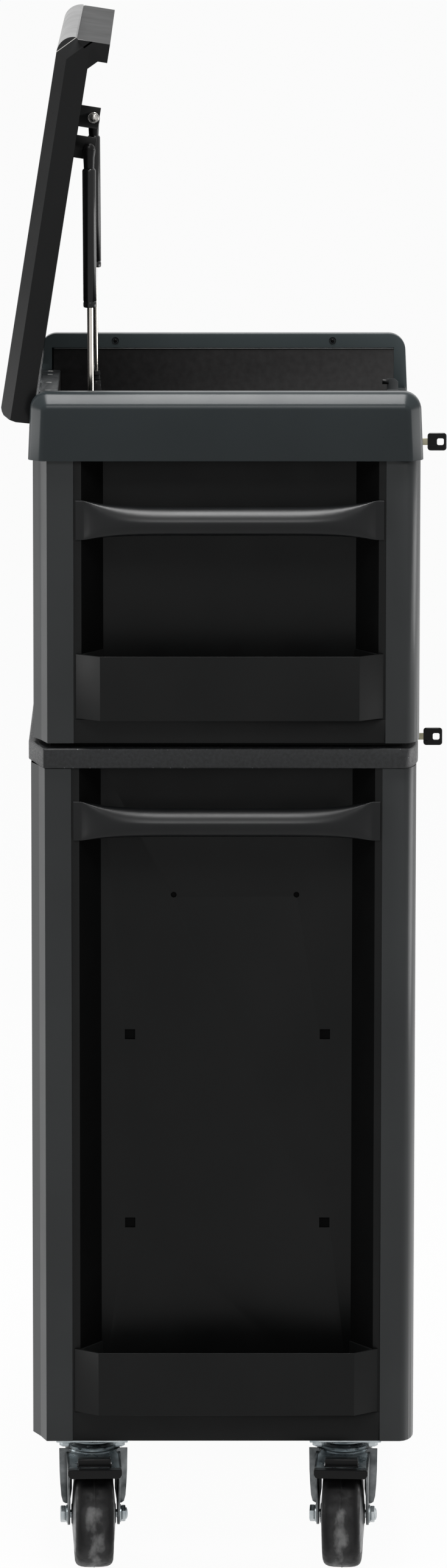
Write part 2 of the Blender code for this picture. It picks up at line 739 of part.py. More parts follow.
def lid_catch(parent):
    """An angle bracket on the front rail, with a round buffer on the upright's inner edge."""
    low = RAIL_TOP + GAP
    top = low + CATCH_HEIGHT
    front = -BACK + CATCH_SETBACK
    back = front + CATCH_DEPTH
    path = [(CATCH_X - CATCH_FOOT, low), (CATCH_X, low), (CATCH_X, top)]
    angle = prism(strip(path, CATCH_SHEET), "Y", front, back)
    cut_edge = [edge for edge in angle.edges
                if min(v.co.z for v in edge.verts) > top - GAP
                and max(v.co.y for v in edge.verts) < front + GAP]
    bmesh.ops.bevel(angle, geom=cut_edge, offset=2 * CATCH_SHEET, segments=1, profile=0.5,
                    affect="EDGES", material=-1)
    bracket = piece("lid_catch", angle, STEEL, parent)
    knob = pin(KNOB_RADIUS, back - CATCH_SHEET, back + KNOB_LENGTH)
    join(bracket, moved(knob, TO_Y, at(CATCH_X - CATCH_SHEET / 2, 0, top - KNOB_RADIUS)))


def lock_key(name, lock_z, parent):
    """The turning plug with its cam, and the key that stands in it."""
    pivot = (0, -BACK, lock_z)
    place = at(*pivot)
    plug = moved(pin(PLUG_RADIUS, -PLUG_REACH, PLUG_BEHIND, 24), TO_Y, place)
    key = piece(name, plug, STEEL, parent, pivot)
    head_start = -KEY_REACH + KEY_HEAD[1]
    head = block((-KEY_HEAD[0] / 2, -KEY_REACH, -KEY_HEAD[2] / 2),
                 (KEY_HEAD[0] / 2, head_start, KEY_HEAD[2] / 2))
    corners = [e for e in head.edges if abs(e.verts[0].co.x - e.verts[1].co.x) > GAP]
    bmesh.ops.bevel(head, geom=corners, offset=KEY_HEAD[2] / 5, segments=3, profile=0.5,
                    affect="EDGES", material=-1)
    blade = block((-KEY_BLADE[0] / 2, -PLUG_REACH - KEY_BLADE[1], -KEY_BLADE[2] / 2),
                  (KEY_BLADE[0] / 2, -PLUG_REACH / 2, KEY_BLADE[2] / 2))
    cam = block((-CAM[0] / 2, PLUG_BEHIND - CAM[1] / 2, -PLUG_RADIUS),
                (CAM[0] / 2, PLUG_BEHIND + CAM[1] / 2, CAM[2] - PLUG_RADIUS))
    join(key, *(moved(shape, place) for shape in (head, blade, cam)))
    middle = -KEY_REACH + KEY_HEAD[1] * 0.4
    eye = block((-KEY_HEAD[0], middle - KEY_EYE / 2, -KEY_EYE / 2),
                (KEY_HEAD[0], middle + KEY_EYE / 2, KEY_EYE / 2))
    cut(key, moved(eye, place))


# Lid


def lid_profile(inset):
    """The lid's section in its closed frame, as (Y, Z) from the hinge pin, front to the left."""
    front = HINGE_Y + BACK + LID_FRONT_OVERHANG
    lip = LID_LIP_WIDTH
    lip_bottom = -HINGE_ABOVE_RAIL + GAP
    radius = LID_FRONT_ROUNDING
    outline = [(front, lip_bottom)]
    for degrees in range(0, 91, 18):
        angle = math.radians(degrees)
        outline.append((front - radius + radius * math.cos(angle),
                        LID_THICKNESS - radius + radius * math.sin(angle)))
    outline += [
        (0.0170, LID_THICKNESS),
        (0.0090, 0.0345),
        (0.0055, 0.0270),
        (0.0040, 0.0190),
        (0.0050, GAP),
        (front - lip - 0.011, GAP),
        (front - lip, -0.011),
        (front - lip, lip_bottom),
    ]
    outline = [(-forward, up) for forward, up in outline]
    return offset(outline, -inset, closed=True) if inset else outline


def lid_block(inset):
    """The lid as a solid, its ends chamfered towards the top and the front."""
    half = LID_HALF - inset
    shape = prism(lid_profile(inset), "X", -half, half)

    def chamfered(edge):
        a, b = (vert.co for vert in edge.verts)
        if abs(a.x - b.x) > GAP:
            return False
        return min(a.z, b.z) > LID_THICKNESS * 0.66

    edges = [edge for edge in shape.edges if chamfered(edge)]
    bmesh.ops.bevel(shape, geom=edges, offset=LID_END_CHAMFER - 0.6 * inset, segments=1,
                    profile=0.5, affect="EDGES", material=-1, clamp_overlap=True)
    return shape


def lid_shell(pivot):
    """A pan of one sheet, open below, with a front lip and a flange for the hinge leaf."""
    front = HINGE_Y + BACK + LID_FRONT_OVERHANG
    lip = front - LID_LIP_WIDTH
    half = LID_HALF - LID_WALL
    shell = piece("lid_shell", lid_block(0), SLATE, pivot)
    below = block((-half, -lip + 2 * LID_WALL, -LID_THICKNESS),
                  (half, -LID_FLANGE, 2 * LID_WALL))
    # The catch stands in a slot of the lip.
    slot = block((CATCH_X - CATCH_FOOT - LID_WALL, -front + CATCH_SETBACK / 2, -LID_THICKNESS),
                 (CATCH_X + 2 * LID_WALL, -lip + CATCH_DEPTH, 2 * LID_WALL))
    cut(shell, lid_block(LID_WALL), below, slot)


def hinge_leaves(body, pivot):
    """Both leaves of the piano hinge. The body's one carries the pin."""
    length = 2 * (LID_HALF - 5 * LID_SIDE_GAP)
    pitch = length / KNUCKLES
    start = -length / 2

    def comb(low, edge, own):
        """Leaf outline with a tab at each of its own knuckles, as (X, distance forward)."""
        outline = []
        for i in range(KNUCKLES):
            x = start + i * pitch
            tab = edge if i % 2 == own else LEAF_SETBACK
            outline += [(x + GAP, tab), (x + pitch - GAP, tab)]
            if i < KNUCKLES - 1:
                outline += [(x + pitch - GAP, LEAF_SETBACK), (x + pitch + GAP, LEAF_SETBACK)]
        outline = [point for i, point in enumerate(outline) if i == 0 or point != outline[i - 1]]
        outline += [(-start - GAP, low), (start + GAP, low)]
        return [(x, -forward) for x, forward in outline]

    barrel = []
    for i in range(0, KNUCKLES, 2):
        low, high = start + i * pitch + GAP, start + (i + 1) * pitch - GAP
        barrel += [(HINGE_PIN_RADIUS, low), (KNUCKLE_RADIUS, low)]
        barrel += [(KNUCKLE_RADIUS, high), (HINGE_PIN_RADIUS, high)]
    barrel = [(0, start + GAP)] + barrel[1:-1] + [(0, -start - GAP)]
    knuckles = moved(turned(barrel, 12), TO_X, at(0, HINGE_Y, HINGE_Z))
    leaf = piece("body_hinge_leaf", knuckles, STEEL, body)
    top = -LEAF_THICKNESS - GAP
    plate = prism(comb(LEAF_WIDTH, 0.0003, 0), "Z", top - LEAF_THICKNESS, top)
    join(leaf, moved(plate, at(0, HINGE_Y, HINGE_Z)))

    rings = []
    for i in range(1, KNUCKLES, 2):
        x = start + i * pitch
        low, high = x + GAP, x + pitch - GAP
        rings.append(turned([(KNUCKLE_BORE, low), (KNUCKLE_RADIUS, low),
                             (KNUCKLE_RADIUS, high), (KNUCKLE_BORE, high)], 12))
    plate = prism(comb(LEAF_WIDTH, 0.0017, 1), "Z", -LEAF_THICKNESS, 0)
    leaf = piece("lid_hinge_leaf", plate, STEEL, pivot)
    join(leaf, moved(together(rings), TO_X))


def lid_bracket(name, side, pivot):
    """The plate inside the lid that carries a strut's upper stud, with its dome nut."""
    foot_top = LID_THICKNESS - LID_WALL - GAP
    plate_in = BRACKET_X - STRUT_PLATE
    path = [(BRACKET_X, -STRUT_DROP - SOCKET_RADIUS), (BRACKET_X, foot_top),
            (BRACKET_X - STRUT_PLATE_WIDTH, foot_top)]
    angle = prism(strip(path, STRUT_PLATE), "Y", -STRUT_REACH - STRUT_PLATE_WIDTH / 2,
                  -STRUT_REACH + STRUT_PLATE_WIDTH / 2)
    bracket = piece(name, on_side(angle, side), BLACK_PAINT, pivot)
    centre = at(0, -STRUT_REACH, -STRUT_DROP)
    socket_face = STRUT_X - SOCKET_WIDTH / 2
    stud = pin(STUD_RADIUS, BRACKET_X - STRUT_PLATE / 2, socket_face - PIN_GAP)
    dome = turned([(0, plate_in - DOME_HEIGHT), (DOME_RADIUS * 0.55, plate_in - DOME_HEIGHT * 0.86),
                   (DOME_RADIUS * 0.92, plate_in - DOME_HEIGHT * 0.45),
                   (DOME_RADIUS, plate_in), (0, plate_in + STRUT_PLATE / 2)], 16)
    join(bracket, *(on_side(moved(shape, TO_X, centre), side) for shape in (stud, dome)))


def strut(side, word, body):
    """One gas strut. Its own frame has the lower stud at the origin and Z along the strut."""
    open_angle = math.radians(LID_OPEN)
    upper = Vector((0, -STRUT_REACH, -STRUT_DROP))
    upper.rotate(Matrix.Rotation(-open_angle, 3, "X"))
    lower = Vector((0, -STRUT_FOOT_FORWARD, -STRUT_DROP))
    along = upper - lower
    tilt = -math.atan2(along.y, along.z)
    centre = (side * STRUT_X, HINGE_Y + lower.y, HINGE_Z + lower.z)
    pivot = pivot_empty(f"strut_pivot_{word}", body, centre, (tilt, 0, 0))
    neck = SOCKET_RADIUS * 0.62
    half = SOCKET_WIDTH / 2
    cylinder_start = along.length - FITTING_LENGTH - CYLINDER_LENGTH

    rod = turned([(0, 0), (neck, 0), (neck, FITTING_LENGTH), (ROD_RADIUS, FITTING_LENGTH),
                  (ROD_RADIUS, cylinder_start + ROD_INSIDE),
                  (0, cylinder_start + ROD_INSIDE)], 16)
    rod = piece(f"{word}_strut_rod", rod, CHROME, pivot)
    join(rod, moved(pin(SOCKET_RADIUS, -half, half, 20), TO_X))
    cut(rod, moved(pin(STUD_RADIUS + PIN_GAP, -2 * half, 2 * half, 20), TO_X))

    top = cylinder_start + CYLINDER_LENGTH
    bore_end = top - 2 * CYLINDER_RADIUS
    cylinder = turned([
        (0, bore_end), (CYLINDER_BORE, bore_end), (CYLINDER_BORE, cylinder_start),
        (CYLINDER_RADIUS, cylinder_start), (CYLINDER_RADIUS, top), (neck, top),
        (neck, along.length), (0, along.length)], 20)
    cylinder = piece(f"{word}_strut_cylinder", cylinder, BLACK_PAINT, pivot, (0, 0, along.length))
    join(cylinder, moved(pin(SOCKET_RADIUS, -half, half, 20), TO_X, at(0, 0, along.length)))


# Drawers and their racks


def drawer_levels(bottom, top, heights):
    """(bottom, top) of each drawer's front, from the top down."""
    levels = []
    high = top
    for height in heights:
        levels.append((high - height + FRONT_GAP, high))
        high -= height
    levels.append((bottom, high))
    return levels


def drawer(name, level, parent):
    """A box on two runners behind a hollow front, whose top edge is the pull."""
    bottom, top = level
    wall = DRAWER_FRONT_SHEET
    face = -BACK
    groove = top - PULL_DEPTH
    profile = [
        (face, bottom), (BOX_FRONT, bottom), (BOX_FRONT, top), (BOX_FRONT - wall, top),
        (BOX_FRONT - wall, groove), (face + wall, groove), (face + wall, top - PULL_ENTRY),
        (face, top - PULL_ENTRY),
    ]
    front = prism(profile, "X", -DRAWER_FRONT, DRAWER_FRONT)
    thing = piece(name, front, SLATE, parent)
    cut(thing, block((-END, face + wall, bottom + wall), (END, BOX_FRONT - wall, groove - wall)))
    low = bottom + BOX_LIFT
    high = top - BOX_DROP
    join(thing, block((-BOX_HALF, BOX_FRONT - wall / 2, low), (BOX_HALF, BOX_BACK, high)))
    inner = BOX_HALF - INNER_SHEET
    cut(thing, block((-inner, BOX_FRONT + GAP, low + INNER_SHEET),
                     (inner, BOX_BACK - INNER_SHEET, top + wall)))
    runner = bottom + RUNNER_LIFT
    for side in (-1, 1):
        bar = block((BOX_HALF - INNER_SHEET / 2, BOX_FRONT + POST_RETURN / 2,
                     runner - RUNNER_HEIGHT / 2),
                    (BOX_HALF + RUNNER_WIDTH, BOX_BACK, runner + RUNNER_HEIGHT / 2))
        join(thing, on_side(bar, side))


def rack(name, side, bottom, top, levels, parent):
    """A liner sheet with a channel for each drawer's runner."""
    inner = LINER_FACE - LINER
    front = -BACK + POST_RETURN + PIN_GAP
    back = BOX_BACK + 2 * POST_RETURN
    liner = block((inner, front, bottom), (LINER_FACE, back - POST_RETURN / 2, top))
    liner = piece(name, on_side(liner, side), ZINC, parent)
    face = inner - CHANNEL_WIDTH + GAP
    bars = []
    grooves = []
    for level in levels:
        middle = level[0] + RUNNER_LIFT
        half = CHANNEL_HEIGHT / 2
        bars.append(block((face, front, middle - half), (inner + GAP, BOX_BACK + GAP, middle + half)))
        half = RUNNER_HEIGHT / 2 + GAP
        grooves.append(block((face - CHANNEL_WIDTH, front - LINER, middle - half),
                             (BOX_HALF + RUNNER_WIDTH + SLIDE_GAP, BOX_BACK + LINER, middle + half)))
    join(liner, on_side(together(bars), side))
    cut(liner, on_side(together(grooves), side))


# Casters


def wheel(name, parent, centre):
    half = WHEEL_WIDTH / 2
    hub = HUB_WIDTH / 2
    bore = AXLE_RADIUS + PIN_GAP
    radius = WHEEL_RADIUS
    half_profile = [
        (bore, hub), (HUB_RADIUS, hub), (HUB_RADIUS, half * 0.6), (RIM_RADIUS, half * 0.6),
        (RIM_RADIUS, half * 0.92), (radius - 0.010, half), (radius - 0.0035, half * 0.84),
        (radius, half * 0.45),
    ]
    profile = half_profile + [(r, -z) for r, z in half_profile[::-1]]
    shape = moved(turned(profile, 24), TO_Y, at(*centre))
    piece(name, shape, TYRE, parent, centre)


def caster_plate(name, centre_x, centre_y, parent):
    """The top plate, with the race under it and the king bolt that holds the fork."""
    x, y, thickness = PLATE_SIZE
    plate = block((-x / 2, -y / 2, PLATE_BOTTOM), (x / 2, y / 2, PLATE_BOTTOM + thickness))
    corners = [e for e in plate.edges if abs(e.verts[0].co.z - e.verts[1].co.z) > thickness / 2]
    bmesh.ops.bevel(plate, geom=corners, offset=4 * thickness, segments=3, profile=0.5,
                    affect="EDGES", material=-1)
    place = at(centre_x, centre_y, 0)
    thing = piece(name, moved(plate, place), ZINC, parent)
    race_bottom = PLATE_BOTTOM - RACE_HEIGHT
    head_top = CROWN_BOTTOM - PIN_GAP
    race = turned([
        (0, PLATE_BOTTOM + thickness / 2), (RACE_RADIUS, PLATE_BOTTOM + thickness / 2),
        (RACE_RADIUS, race_bottom), (KING_RADIUS, race_bottom), (KING_RADIUS, head_top),
        (KING_HEAD[0], head_top), (KING_HEAD[0], head_top - KING_HEAD[1]),
        (0, head_top - KING_HEAD[1])], 24)
    join(thing, moved(race, place))


def leg(axle_x, corners, side):
    """One side of a fork: from its upper corners (X, Z) down to a round boss at the axle."""
    outline = list(corners)
    for degrees in range(-30, -181, -25):
        angle = math.radians(degrees)
        outline.append((axle_x + AXLE_BOSS * math.cos(angle),
                        WHEEL_RADIUS + AXLE_BOSS * math.sin(angle)))
    low, high = sorted((side * FORK_HALF, side * (FORK_HALF + FORK_SHEET)))
    shape = prism(outline, "Y", low, high)
    # Above a bend the leg leans outwards.
    bend = WHEEL_RADIUS + FORK_BEND
    bmesh.ops.bisect_plane(shape, geom=shape.verts[:] + shape.edges[:] + shape.faces[:],
                           plane_co=(0, 0, bend), plane_no=(0, 0, 1))
    for vert in shape.verts:
        vert.co.y += side * FORK_FLARE * max(vert.co.z - bend, 0)
    return shape


def pedal_pin_place():
    return (-CASTER_TRAIL - 0.004, CROWN_BOTTOM - 0.0042)


def fork(name, parent):
    """A pressed fork under the race: its legs trail the swivel axis, with a hood in front."""
    top = CROWN_TOP - 0.0010
    lean = FORK_FLARE * (top - WHEEL_RADIUS - FORK_BEND)
    half = FORK_HALF + FORK_SHEET / 2 + lean - GAP
    crown = block((HOOD[0][0] - 0.004, -half, CROWN_BOTTOM + 0.0005), (FORK_BACK, half, top))
    thing = piece(name, crown, ZINC, parent)
    (hood_x, hood_z), (tip_x, tip_z) = ((x, CROWN_TOP + z) for x, z in HOOD)
    corners = [(tip_x, tip_z - 2 * HOOD_SHEET), (tip_x, tip_z), (hood_x, top), (FORK_BACK, top),
               (FORK_BACK, top - 0.018)]
    join(thing, leg(-CASTER_TRAIL, corners, -1), leg(-CASTER_TRAIL, corners, 1))
    hood = strip([(tip_x + GAP, tip_z - GAP), (hood_x, hood_z - GAP)], -HOOD_SHEET)
    reach = FORK_HALF + FORK_SHEET / 2 + FORK_FLARE * (tip_z - WHEEL_RADIUS - FORK_BEND)
    join(thing, prism(hood, "Y", -reach, reach))
    join(thing, turned([(0, CROWN_BOTTOM), (CROWN_RADIUS - 0.006, CROWN_BOTTOM),
                        (CROWN_RADIUS, CROWN_BOTTOM + 0.002), (CROWN_RADIUS, CROWN_TOP),
                        (0, CROWN_TOP)], 24))
    pin_x, pin_z = pedal_pin_place()
    wide = 2 * half
    cut(thing, pin(KING_RADIUS + PIN_GAP, CROWN_BOTTOM - SHEET, CROWN_TOP + SHEET, 24))
    cut(thing, moved(pin(AXLE_RADIUS + GAP, -wide, wide), TO_Y,
                     at(-CASTER_TRAIL, 0, WHEEL_RADIUS)))
    cut(thing, moved(pin(PEDAL_PIN_RADIUS + PIN_GAP, -wide, wide), TO_Y, at(pin_x, 0, pin_z)))
    window = PEDAL_PAD[1] / 2 + PIN_GAP
    cut(thing, block((HOOD_TIP + 0.0025, -window, tip_z - 0.006),
                     (HOOD_TIP + 0.0065 + PEDAL_PAD[0], window, CROWN_TOP + SHEET)))


def hexagon(radius):
    return [(radius * math.cos(math.radians(a)), radius * math.sin(math.radians(a)))
            for a in range(0, 360, 60)]


def axle_bolt(name, parent, centre):
    outer = FORK_HALF + FORK_SHEET + GAP
    head_radius, head = BOLT_HEAD
    bolt = piece(name, moved(pin(AXLE_RADIUS, -outer - head / 2, outer + 1.5 * head), TO_Y,
                             at(*centre)), ZINC, parent)
    for low, high in ((-outer - head, -outer), (outer, outer + head)):
        nut = moved(prism(hexagon(head_radius), "Z", low, high), TO_Y, at(*centre))
        join(bolt, nut)


def brake_pedal(name, parent):
    """A lever under the hood, with a pad through its window and a wide bar for the foot."""
    pin_x, pin_z = pedal_pin_place()
    bar_x = HOOD_TIP - 0.0008
    tip_z = CROWN_TOP + HOOD[1][1]
    arm = [
        (pin_x + 0.0035, pin_z + 0.0030), (pin_x + 0.0035, pin_z - 0.0028),
        (pin_x - 0.0110, pin_z - 0.0038), (bar_x - 0.0040, tip_z - 0.0078),
        (bar_x - 0.0040, tip_z - 0.0038), (pin_x - 0.0110, pin_z + 0.0014),
    ]
    half = PEDAL_PAD[1] / 2
    thing = piece(name, prism(arm, "Y", -half, half), BLACK_PLASTIC, parent, (pin_x, 0, pin_z))
    length, width, height = PEDAL_BAR
    bar_low = tip_z - height + GAP
    join(thing, block((bar_x - length, -width / 2, bar_low),
                      (bar_x, width / 2, bar_low + height)))
    pad_x = HOOD_TIP + 0.0040
    join(thing, block((pad_x, -half, tip_z - 0.0060),
                      (pad_x + PEDAL_PAD[0], half, CROWN_TOP + PEDAL_PAD_RISE)))
    reach = FORK_HALF + FORK_SHEET + FORK_FLARE * (pin_z - WHEEL_RADIUS - FORK_BEND)
    join(thing, moved(pin(PEDAL_PIN_RADIUS, -reach, reach), TO_Y, at(pin_x, 0, pin_z)))


def swivel_caster(word, centre_y, toe, parent):
    caster_plate(f"{word}_caster_plate", -CASTER_X, centre_y, parent)
    pivot = pivot_empty(f"{word}_swivel", parent, (-CASTER_X, centre_y, 0),
                        (0, 0, math.radians(toe)))
    centre = (-CASTER_TRAIL, 0, WHEEL_RADIUS)
    fork(f"{word}_caster_fork", pivot)
    wheel(f"{word}_swivel_wheel", pivot, centre)
    axle_bolt(f"{word}_axle_bolt", pivot, centre)
    brake_pedal(f"{word}_brake_pedal", pivot)


def rigid_caster(word, centre_y, parent):
    """A fixed bracket: plate, two legs and the axle riveted into them."""
    x, y, thickness = PLATE_SIZE
    place = at(CASTER_X, centre_y, 0)
    plate = block((-x / 2, -y / 2, PLATE_BOTTOM), (x / 2, y / 2, PLATE_BOTTOM + thickness))
    thing = piece(f"{word}_rigid_bracket", moved(plate, place), ZINC, parent)
    top = PLATE_BOTTOM + thickness / 2
    corners = [(-x * 0.36, top - 0.018), (-x * 0.36, top), (x * 0.36, top), (x * 0.36, top - 0.018)]
    for side in (-1, 1):
        join(thing, moved(leg(0, corners, side), place))
    outer = FORK_HALF + FORK_SHEET
    rivet = turned([(0, -outer - 0.003), (0.006, -outer - 0.003), (0.0085, -outer + GAP),
                    (AXLE_RADIUS, -outer + GAP), (AXLE_RADIUS, outer - GAP),
                    (0.0085, outer - GAP), (0.006, outer + 0.003), (0, outer + 0.003)], 16)
    join(thing, moved(rivet, TO_Y, at(CASTER_X, centre_y, WHEEL_RADIUS)))
    wheel(f"{word}_rigid_wheel", parent, (CASTER_X, centre_y, WHEEL_RADIUS))


# The whole object


def centre_shift():
    """How far the body moves along Y, so that the whole object's middle lies at zero."""
    open_angle = math.radians(LID_OPEN)
    rear = max(HINGE_Y + y * math.cos(open_angle) + z * math.sin(open_angle)
               for y, z in lid_profile(0))
    front = -BACK - KEY_REACH
    return -(rear + front) / 2 + CHEST_FORWARD


def build():
    for thing in list(bpy.data.objects):
        bpy.data.objects.remove(thing, do_unlink=True)
    body = pivot_empty("tool_chest", None, (0, centre_shift(), 0))
    chest = pivot_empty("chest", body, (0, -CHEST_FORWARD, 0))

    cabinet_top = CABINET_TOP - GAP
    chest_lock = RAIL_TOP - LOCK_BELOW_CHEST_RAIL
    cabinet_lock = CABINET_TOP - LOCK_BELOW_CABINET_RAIL
    flange_top = HINGE_Z - KNUCKLE_RADIUS

    for side, word in ((-1, "left"), (1, "right")):
        front_post(f"chest_{word}_front_post", side, CHEST_BOTTOM, RAIL_TOP, CHEST_PAN_TOP, chest)
        front_post(f"cabinet_{word}_front_post", side, CABINET_BOTTOM, cabinet_top,
                   CABINET_PAN_TOP, body)
        recess_panel(f"chest_{word}_recess_panel", side, CHEST_PAN_TOP + GAP, LEDGE_Z - GAP, chest)
        panel = recess_panel(f"cabinet_{word}_recess_panel", side, CABINET_PAN_TOP + GAP,
                             cabinet_top, body)
        holes = [moved(pin(ROUND_HOLE_RADIUS, PANEL_FACE - 3 * SHEET, PANEL_FACE + SHEET), TO_X,
                       at(0, y, CABINET_BOTTOM + z)) for z, y in ROUND_HOLES]
        half = SQUARE_HOLE_SIDE / 2
        holes += [block((PANEL_FACE - 3 * SHEET, y - half, CABINET_BOTTOM + z - half),
                        (PANEL_FACE + SHEET, y + half, CABINET_BOTTOM + z + half))
                  for z, y in SQUARE_HOLES]
        cut(panel, on_side(together(holes), side))
        cheek(f"{word}_cheek", side, chest)
        handle(f"chest_{word}_handle", side, RAIL_TOP - CHEST_HANDLE_DROP, chest)

    base_pan("chest_base_pan", CHEST_BOTTOM, CHEST_PAN_TOP, PLINTH_HEIGHT, chest)
    base_pan("cabinet_base_pan", CABINET_BOTTOM, CABINET_PAN_TOP, 0, body)
    rail("chest_top_rail", RAIL_TOP, CHEST_RAIL, chest_lock, chest)
    rail("cabinet_top_rail", cabinet_top, CABINET_RAIL, cabinet_lock, body)
    rear_shell("chest_rear_shell", CHEST_BOTTOM, RAIL_TOP, flange_top, chest)
    rear_shell("cabinet_rear_shell", CABINET_BOTTOM, cabinet_top, cabinet_top, body)
    worktop(body)
    till(chest)
    lid_catch(chest)
    handle("cabinet_left_handle", -1, CABINET_TOP - CABINET_HANDLE_DROP, body)
    pocket("chest_left_pocket", -1, CHEST_PAN_TOP, chest)
    pocket("cabinet_left_pocket", -1, CABINET_PAN_TOP, body)
    lock_key("chest_lock_key", chest_lock, chest)
    lock_key("cabinet_lock_key", cabinet_lock, body)

    lid_pivot = pivot_empty("lid_pivot", chest, (0, HINGE_Y, HINGE_Z),
                            (-math.radians(LID_OPEN), 0, 0))
    lid_shell(lid_pivot)
    hinge_leaves(chest, lid_pivot)
    for side, word in ((-1, "left"), (1, "right")):
        lid_bracket(f"{word}_lid_bracket", side, lid_pivot)
        strut(side, word, chest)

    stacks = (
        (chest, "chest", CHEST_PAN_TOP, RAIL_TOP - CHEST_RAIL, CHEST_DRAWERS),
        (body, "cabinet", CABINET_PAN_TOP, cabinet_top - CABINET_RAIL, CABINET_DRAWERS),
    )
    for parent, word, bottom, top, heights in stacks:
        levels = drawer_levels(bottom + FRONT_GAP / 2, top - FRONT_GAP / 2, heights)
        for number, level in enumerate(levels, 1):
            drawer(f"{word}_drawer_{number}", level, parent)
        for side, end in ((-1, "left"), (1, "right")):
            rack(f"{word}_{end}_slide_rack", side, bottom + GAP, top - GAP, levels, parent)

    front_y, rear_y = CASTER_Y
    swivel_caster("front", front_y, -CASTER_TOE[0], body)
    swivel_caster("rear", rear_y, CASTER_TOE[1], body)
    rigid_caster("front", front_y, body)
    rigid_caster("rear", rear_y, body)
    settle()


build()
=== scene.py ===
"""Finished surfaces of the rolling tool chest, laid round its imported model."""

import json
import math

import bmesh
import bpy
from mathutils import Matrix, Vector

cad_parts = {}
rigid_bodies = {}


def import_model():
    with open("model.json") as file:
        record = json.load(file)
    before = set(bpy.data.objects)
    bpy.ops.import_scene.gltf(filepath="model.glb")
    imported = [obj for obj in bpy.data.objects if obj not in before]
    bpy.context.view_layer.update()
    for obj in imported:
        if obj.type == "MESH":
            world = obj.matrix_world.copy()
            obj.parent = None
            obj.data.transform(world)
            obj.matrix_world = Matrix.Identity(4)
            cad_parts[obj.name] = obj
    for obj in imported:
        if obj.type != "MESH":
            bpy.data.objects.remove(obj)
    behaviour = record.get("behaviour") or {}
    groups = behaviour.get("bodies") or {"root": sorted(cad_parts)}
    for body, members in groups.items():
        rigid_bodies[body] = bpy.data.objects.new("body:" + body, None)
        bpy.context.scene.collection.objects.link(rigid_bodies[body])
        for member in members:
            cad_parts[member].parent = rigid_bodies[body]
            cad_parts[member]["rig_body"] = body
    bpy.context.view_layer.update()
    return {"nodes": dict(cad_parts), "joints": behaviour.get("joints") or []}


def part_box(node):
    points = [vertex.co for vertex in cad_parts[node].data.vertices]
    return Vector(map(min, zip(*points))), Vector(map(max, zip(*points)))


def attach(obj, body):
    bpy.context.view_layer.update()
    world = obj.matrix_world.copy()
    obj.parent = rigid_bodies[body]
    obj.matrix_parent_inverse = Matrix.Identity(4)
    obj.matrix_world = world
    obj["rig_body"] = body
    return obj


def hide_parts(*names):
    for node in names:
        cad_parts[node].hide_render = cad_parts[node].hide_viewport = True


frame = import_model()

# ---------------------------------------------------------------- caster wheels
# Hard rubber tyres with rounded shoulders and a mould line, on dark moulded cores with a
# hub at each side. Dust from the floor lies on the treads; the upper part of each tread has
# no dust and is painted darker, as painted shade from the fork and the brake shoe.

MIDDLE = (0.3, 0.7)  # most of a noise lies between these


def new_material(name, roughness, metallic=0.0, specular=0.5):
    """A Principled material with the values that are the same all over it."""
    material = bpy.data.materials.new(name)
    material.use_nodes = True
    shader = material.node_tree.nodes["Principled BSDF"]
    shader.inputs["Roughness"].default_value = roughness
    shader.inputs["Metallic"].default_value = metallic
    shader.inputs["Specular IOR Level"].default_value = specular
    return material, material.node_tree.nodes, material.node_tree.links, shader


def noise_on(nodes, links, scale, detail=4.0, stretch=(1, 1, 1)):
    """Noise that lies still on the object, stretched along an axis where the grain runs."""
    place = nodes.new("ShaderNodeTexCoord")
    turn = nodes.new("ShaderNodeMapping")
    turn.inputs["Scale"].default_value = stretch
    noise = nodes.new("ShaderNodeTexNoise")
    noise.inputs["Scale"].default_value = scale
    noise.inputs["Detail"].default_value = detail
    links.new(place.outputs["Object"], turn.inputs["Vector"])
    links.new(turn.outputs["Vector"], noise.inputs["Vector"])
    return noise.outputs["Fac"]


def ramp_of(nodes, links, value, stops):
    """The value's colours, from (position, colour) stops."""
    ramp, stops = nodes.new("ShaderNodeValToRGB"), list(stops)
    while len(ramp.color_ramp.elements) < len(stops):
        ramp.color_ramp.elements.new(0.5)
    for element, (position, colour) in zip(ramp.color_ramp.elements, stops):
        element.position = position
        element.color = (*colour, 1)
    links.new(value, ramp.inputs["Fac"])
    return ramp.outputs["Color"]


def combined(nodes, links, operation, first, second):
    """A Math node's result; the second value may be a plain number."""
    node = nodes.new("ShaderNodeMath")
    node.operation = operation
    links.new(first, node.inputs[0])
    if isinstance(second, float):
        node.inputs[1].default_value = second
    else:
        links.new(second, node.inputs[1])
    return node.outputs[0]


def textured(nodes, links, shader, patches, roughness, grain, relief, depth=0.0003,
             detail=2.0):
    """Uneven gloss from a coarse noise, and a relief from a fine one."""
    gloss = nodes.new("ShaderNodeMapRange")
    for end, value in zip(("From Min", "From Max", "To Min", "To Max"),
                          (*MIDDLE, *roughness)):
        gloss.inputs[end].default_value = value
    links.new(noise_on(nodes, links, patches), gloss.inputs["Value"])
    links.new(gloss.outputs["Result"], shader.inputs["Roughness"])
    bump = nodes.new("ShaderNodeBump")
    bump.inputs["Strength"].default_value = relief
    bump.inputs["Distance"].default_value = depth
    links.new(noise_on(nodes, links, grain, detail), bump.inputs["Height"])
    links.new(bump.outputs["Normal"], shader.inputs["Normal"])


def coating(name, dark, pale, roughness, grain=900.0, relief=0.05, patches=9.0, **values):
    """A painted, plated or moulded surface: faint cloudiness, uneven gloss, fine texture."""
    material, nodes, links, shader = new_material(name, sum(roughness) / 2, **values)
    clouds = noise_on(nodes, links, patches)
    links.new(ramp_of(nodes, links, clouds, zip(MIDDLE, (dark, pale))),
              shader.inputs["Base Color"])
    textured(nodes, links, shader, 3 * patches, roughness, grain, relief)
    return material


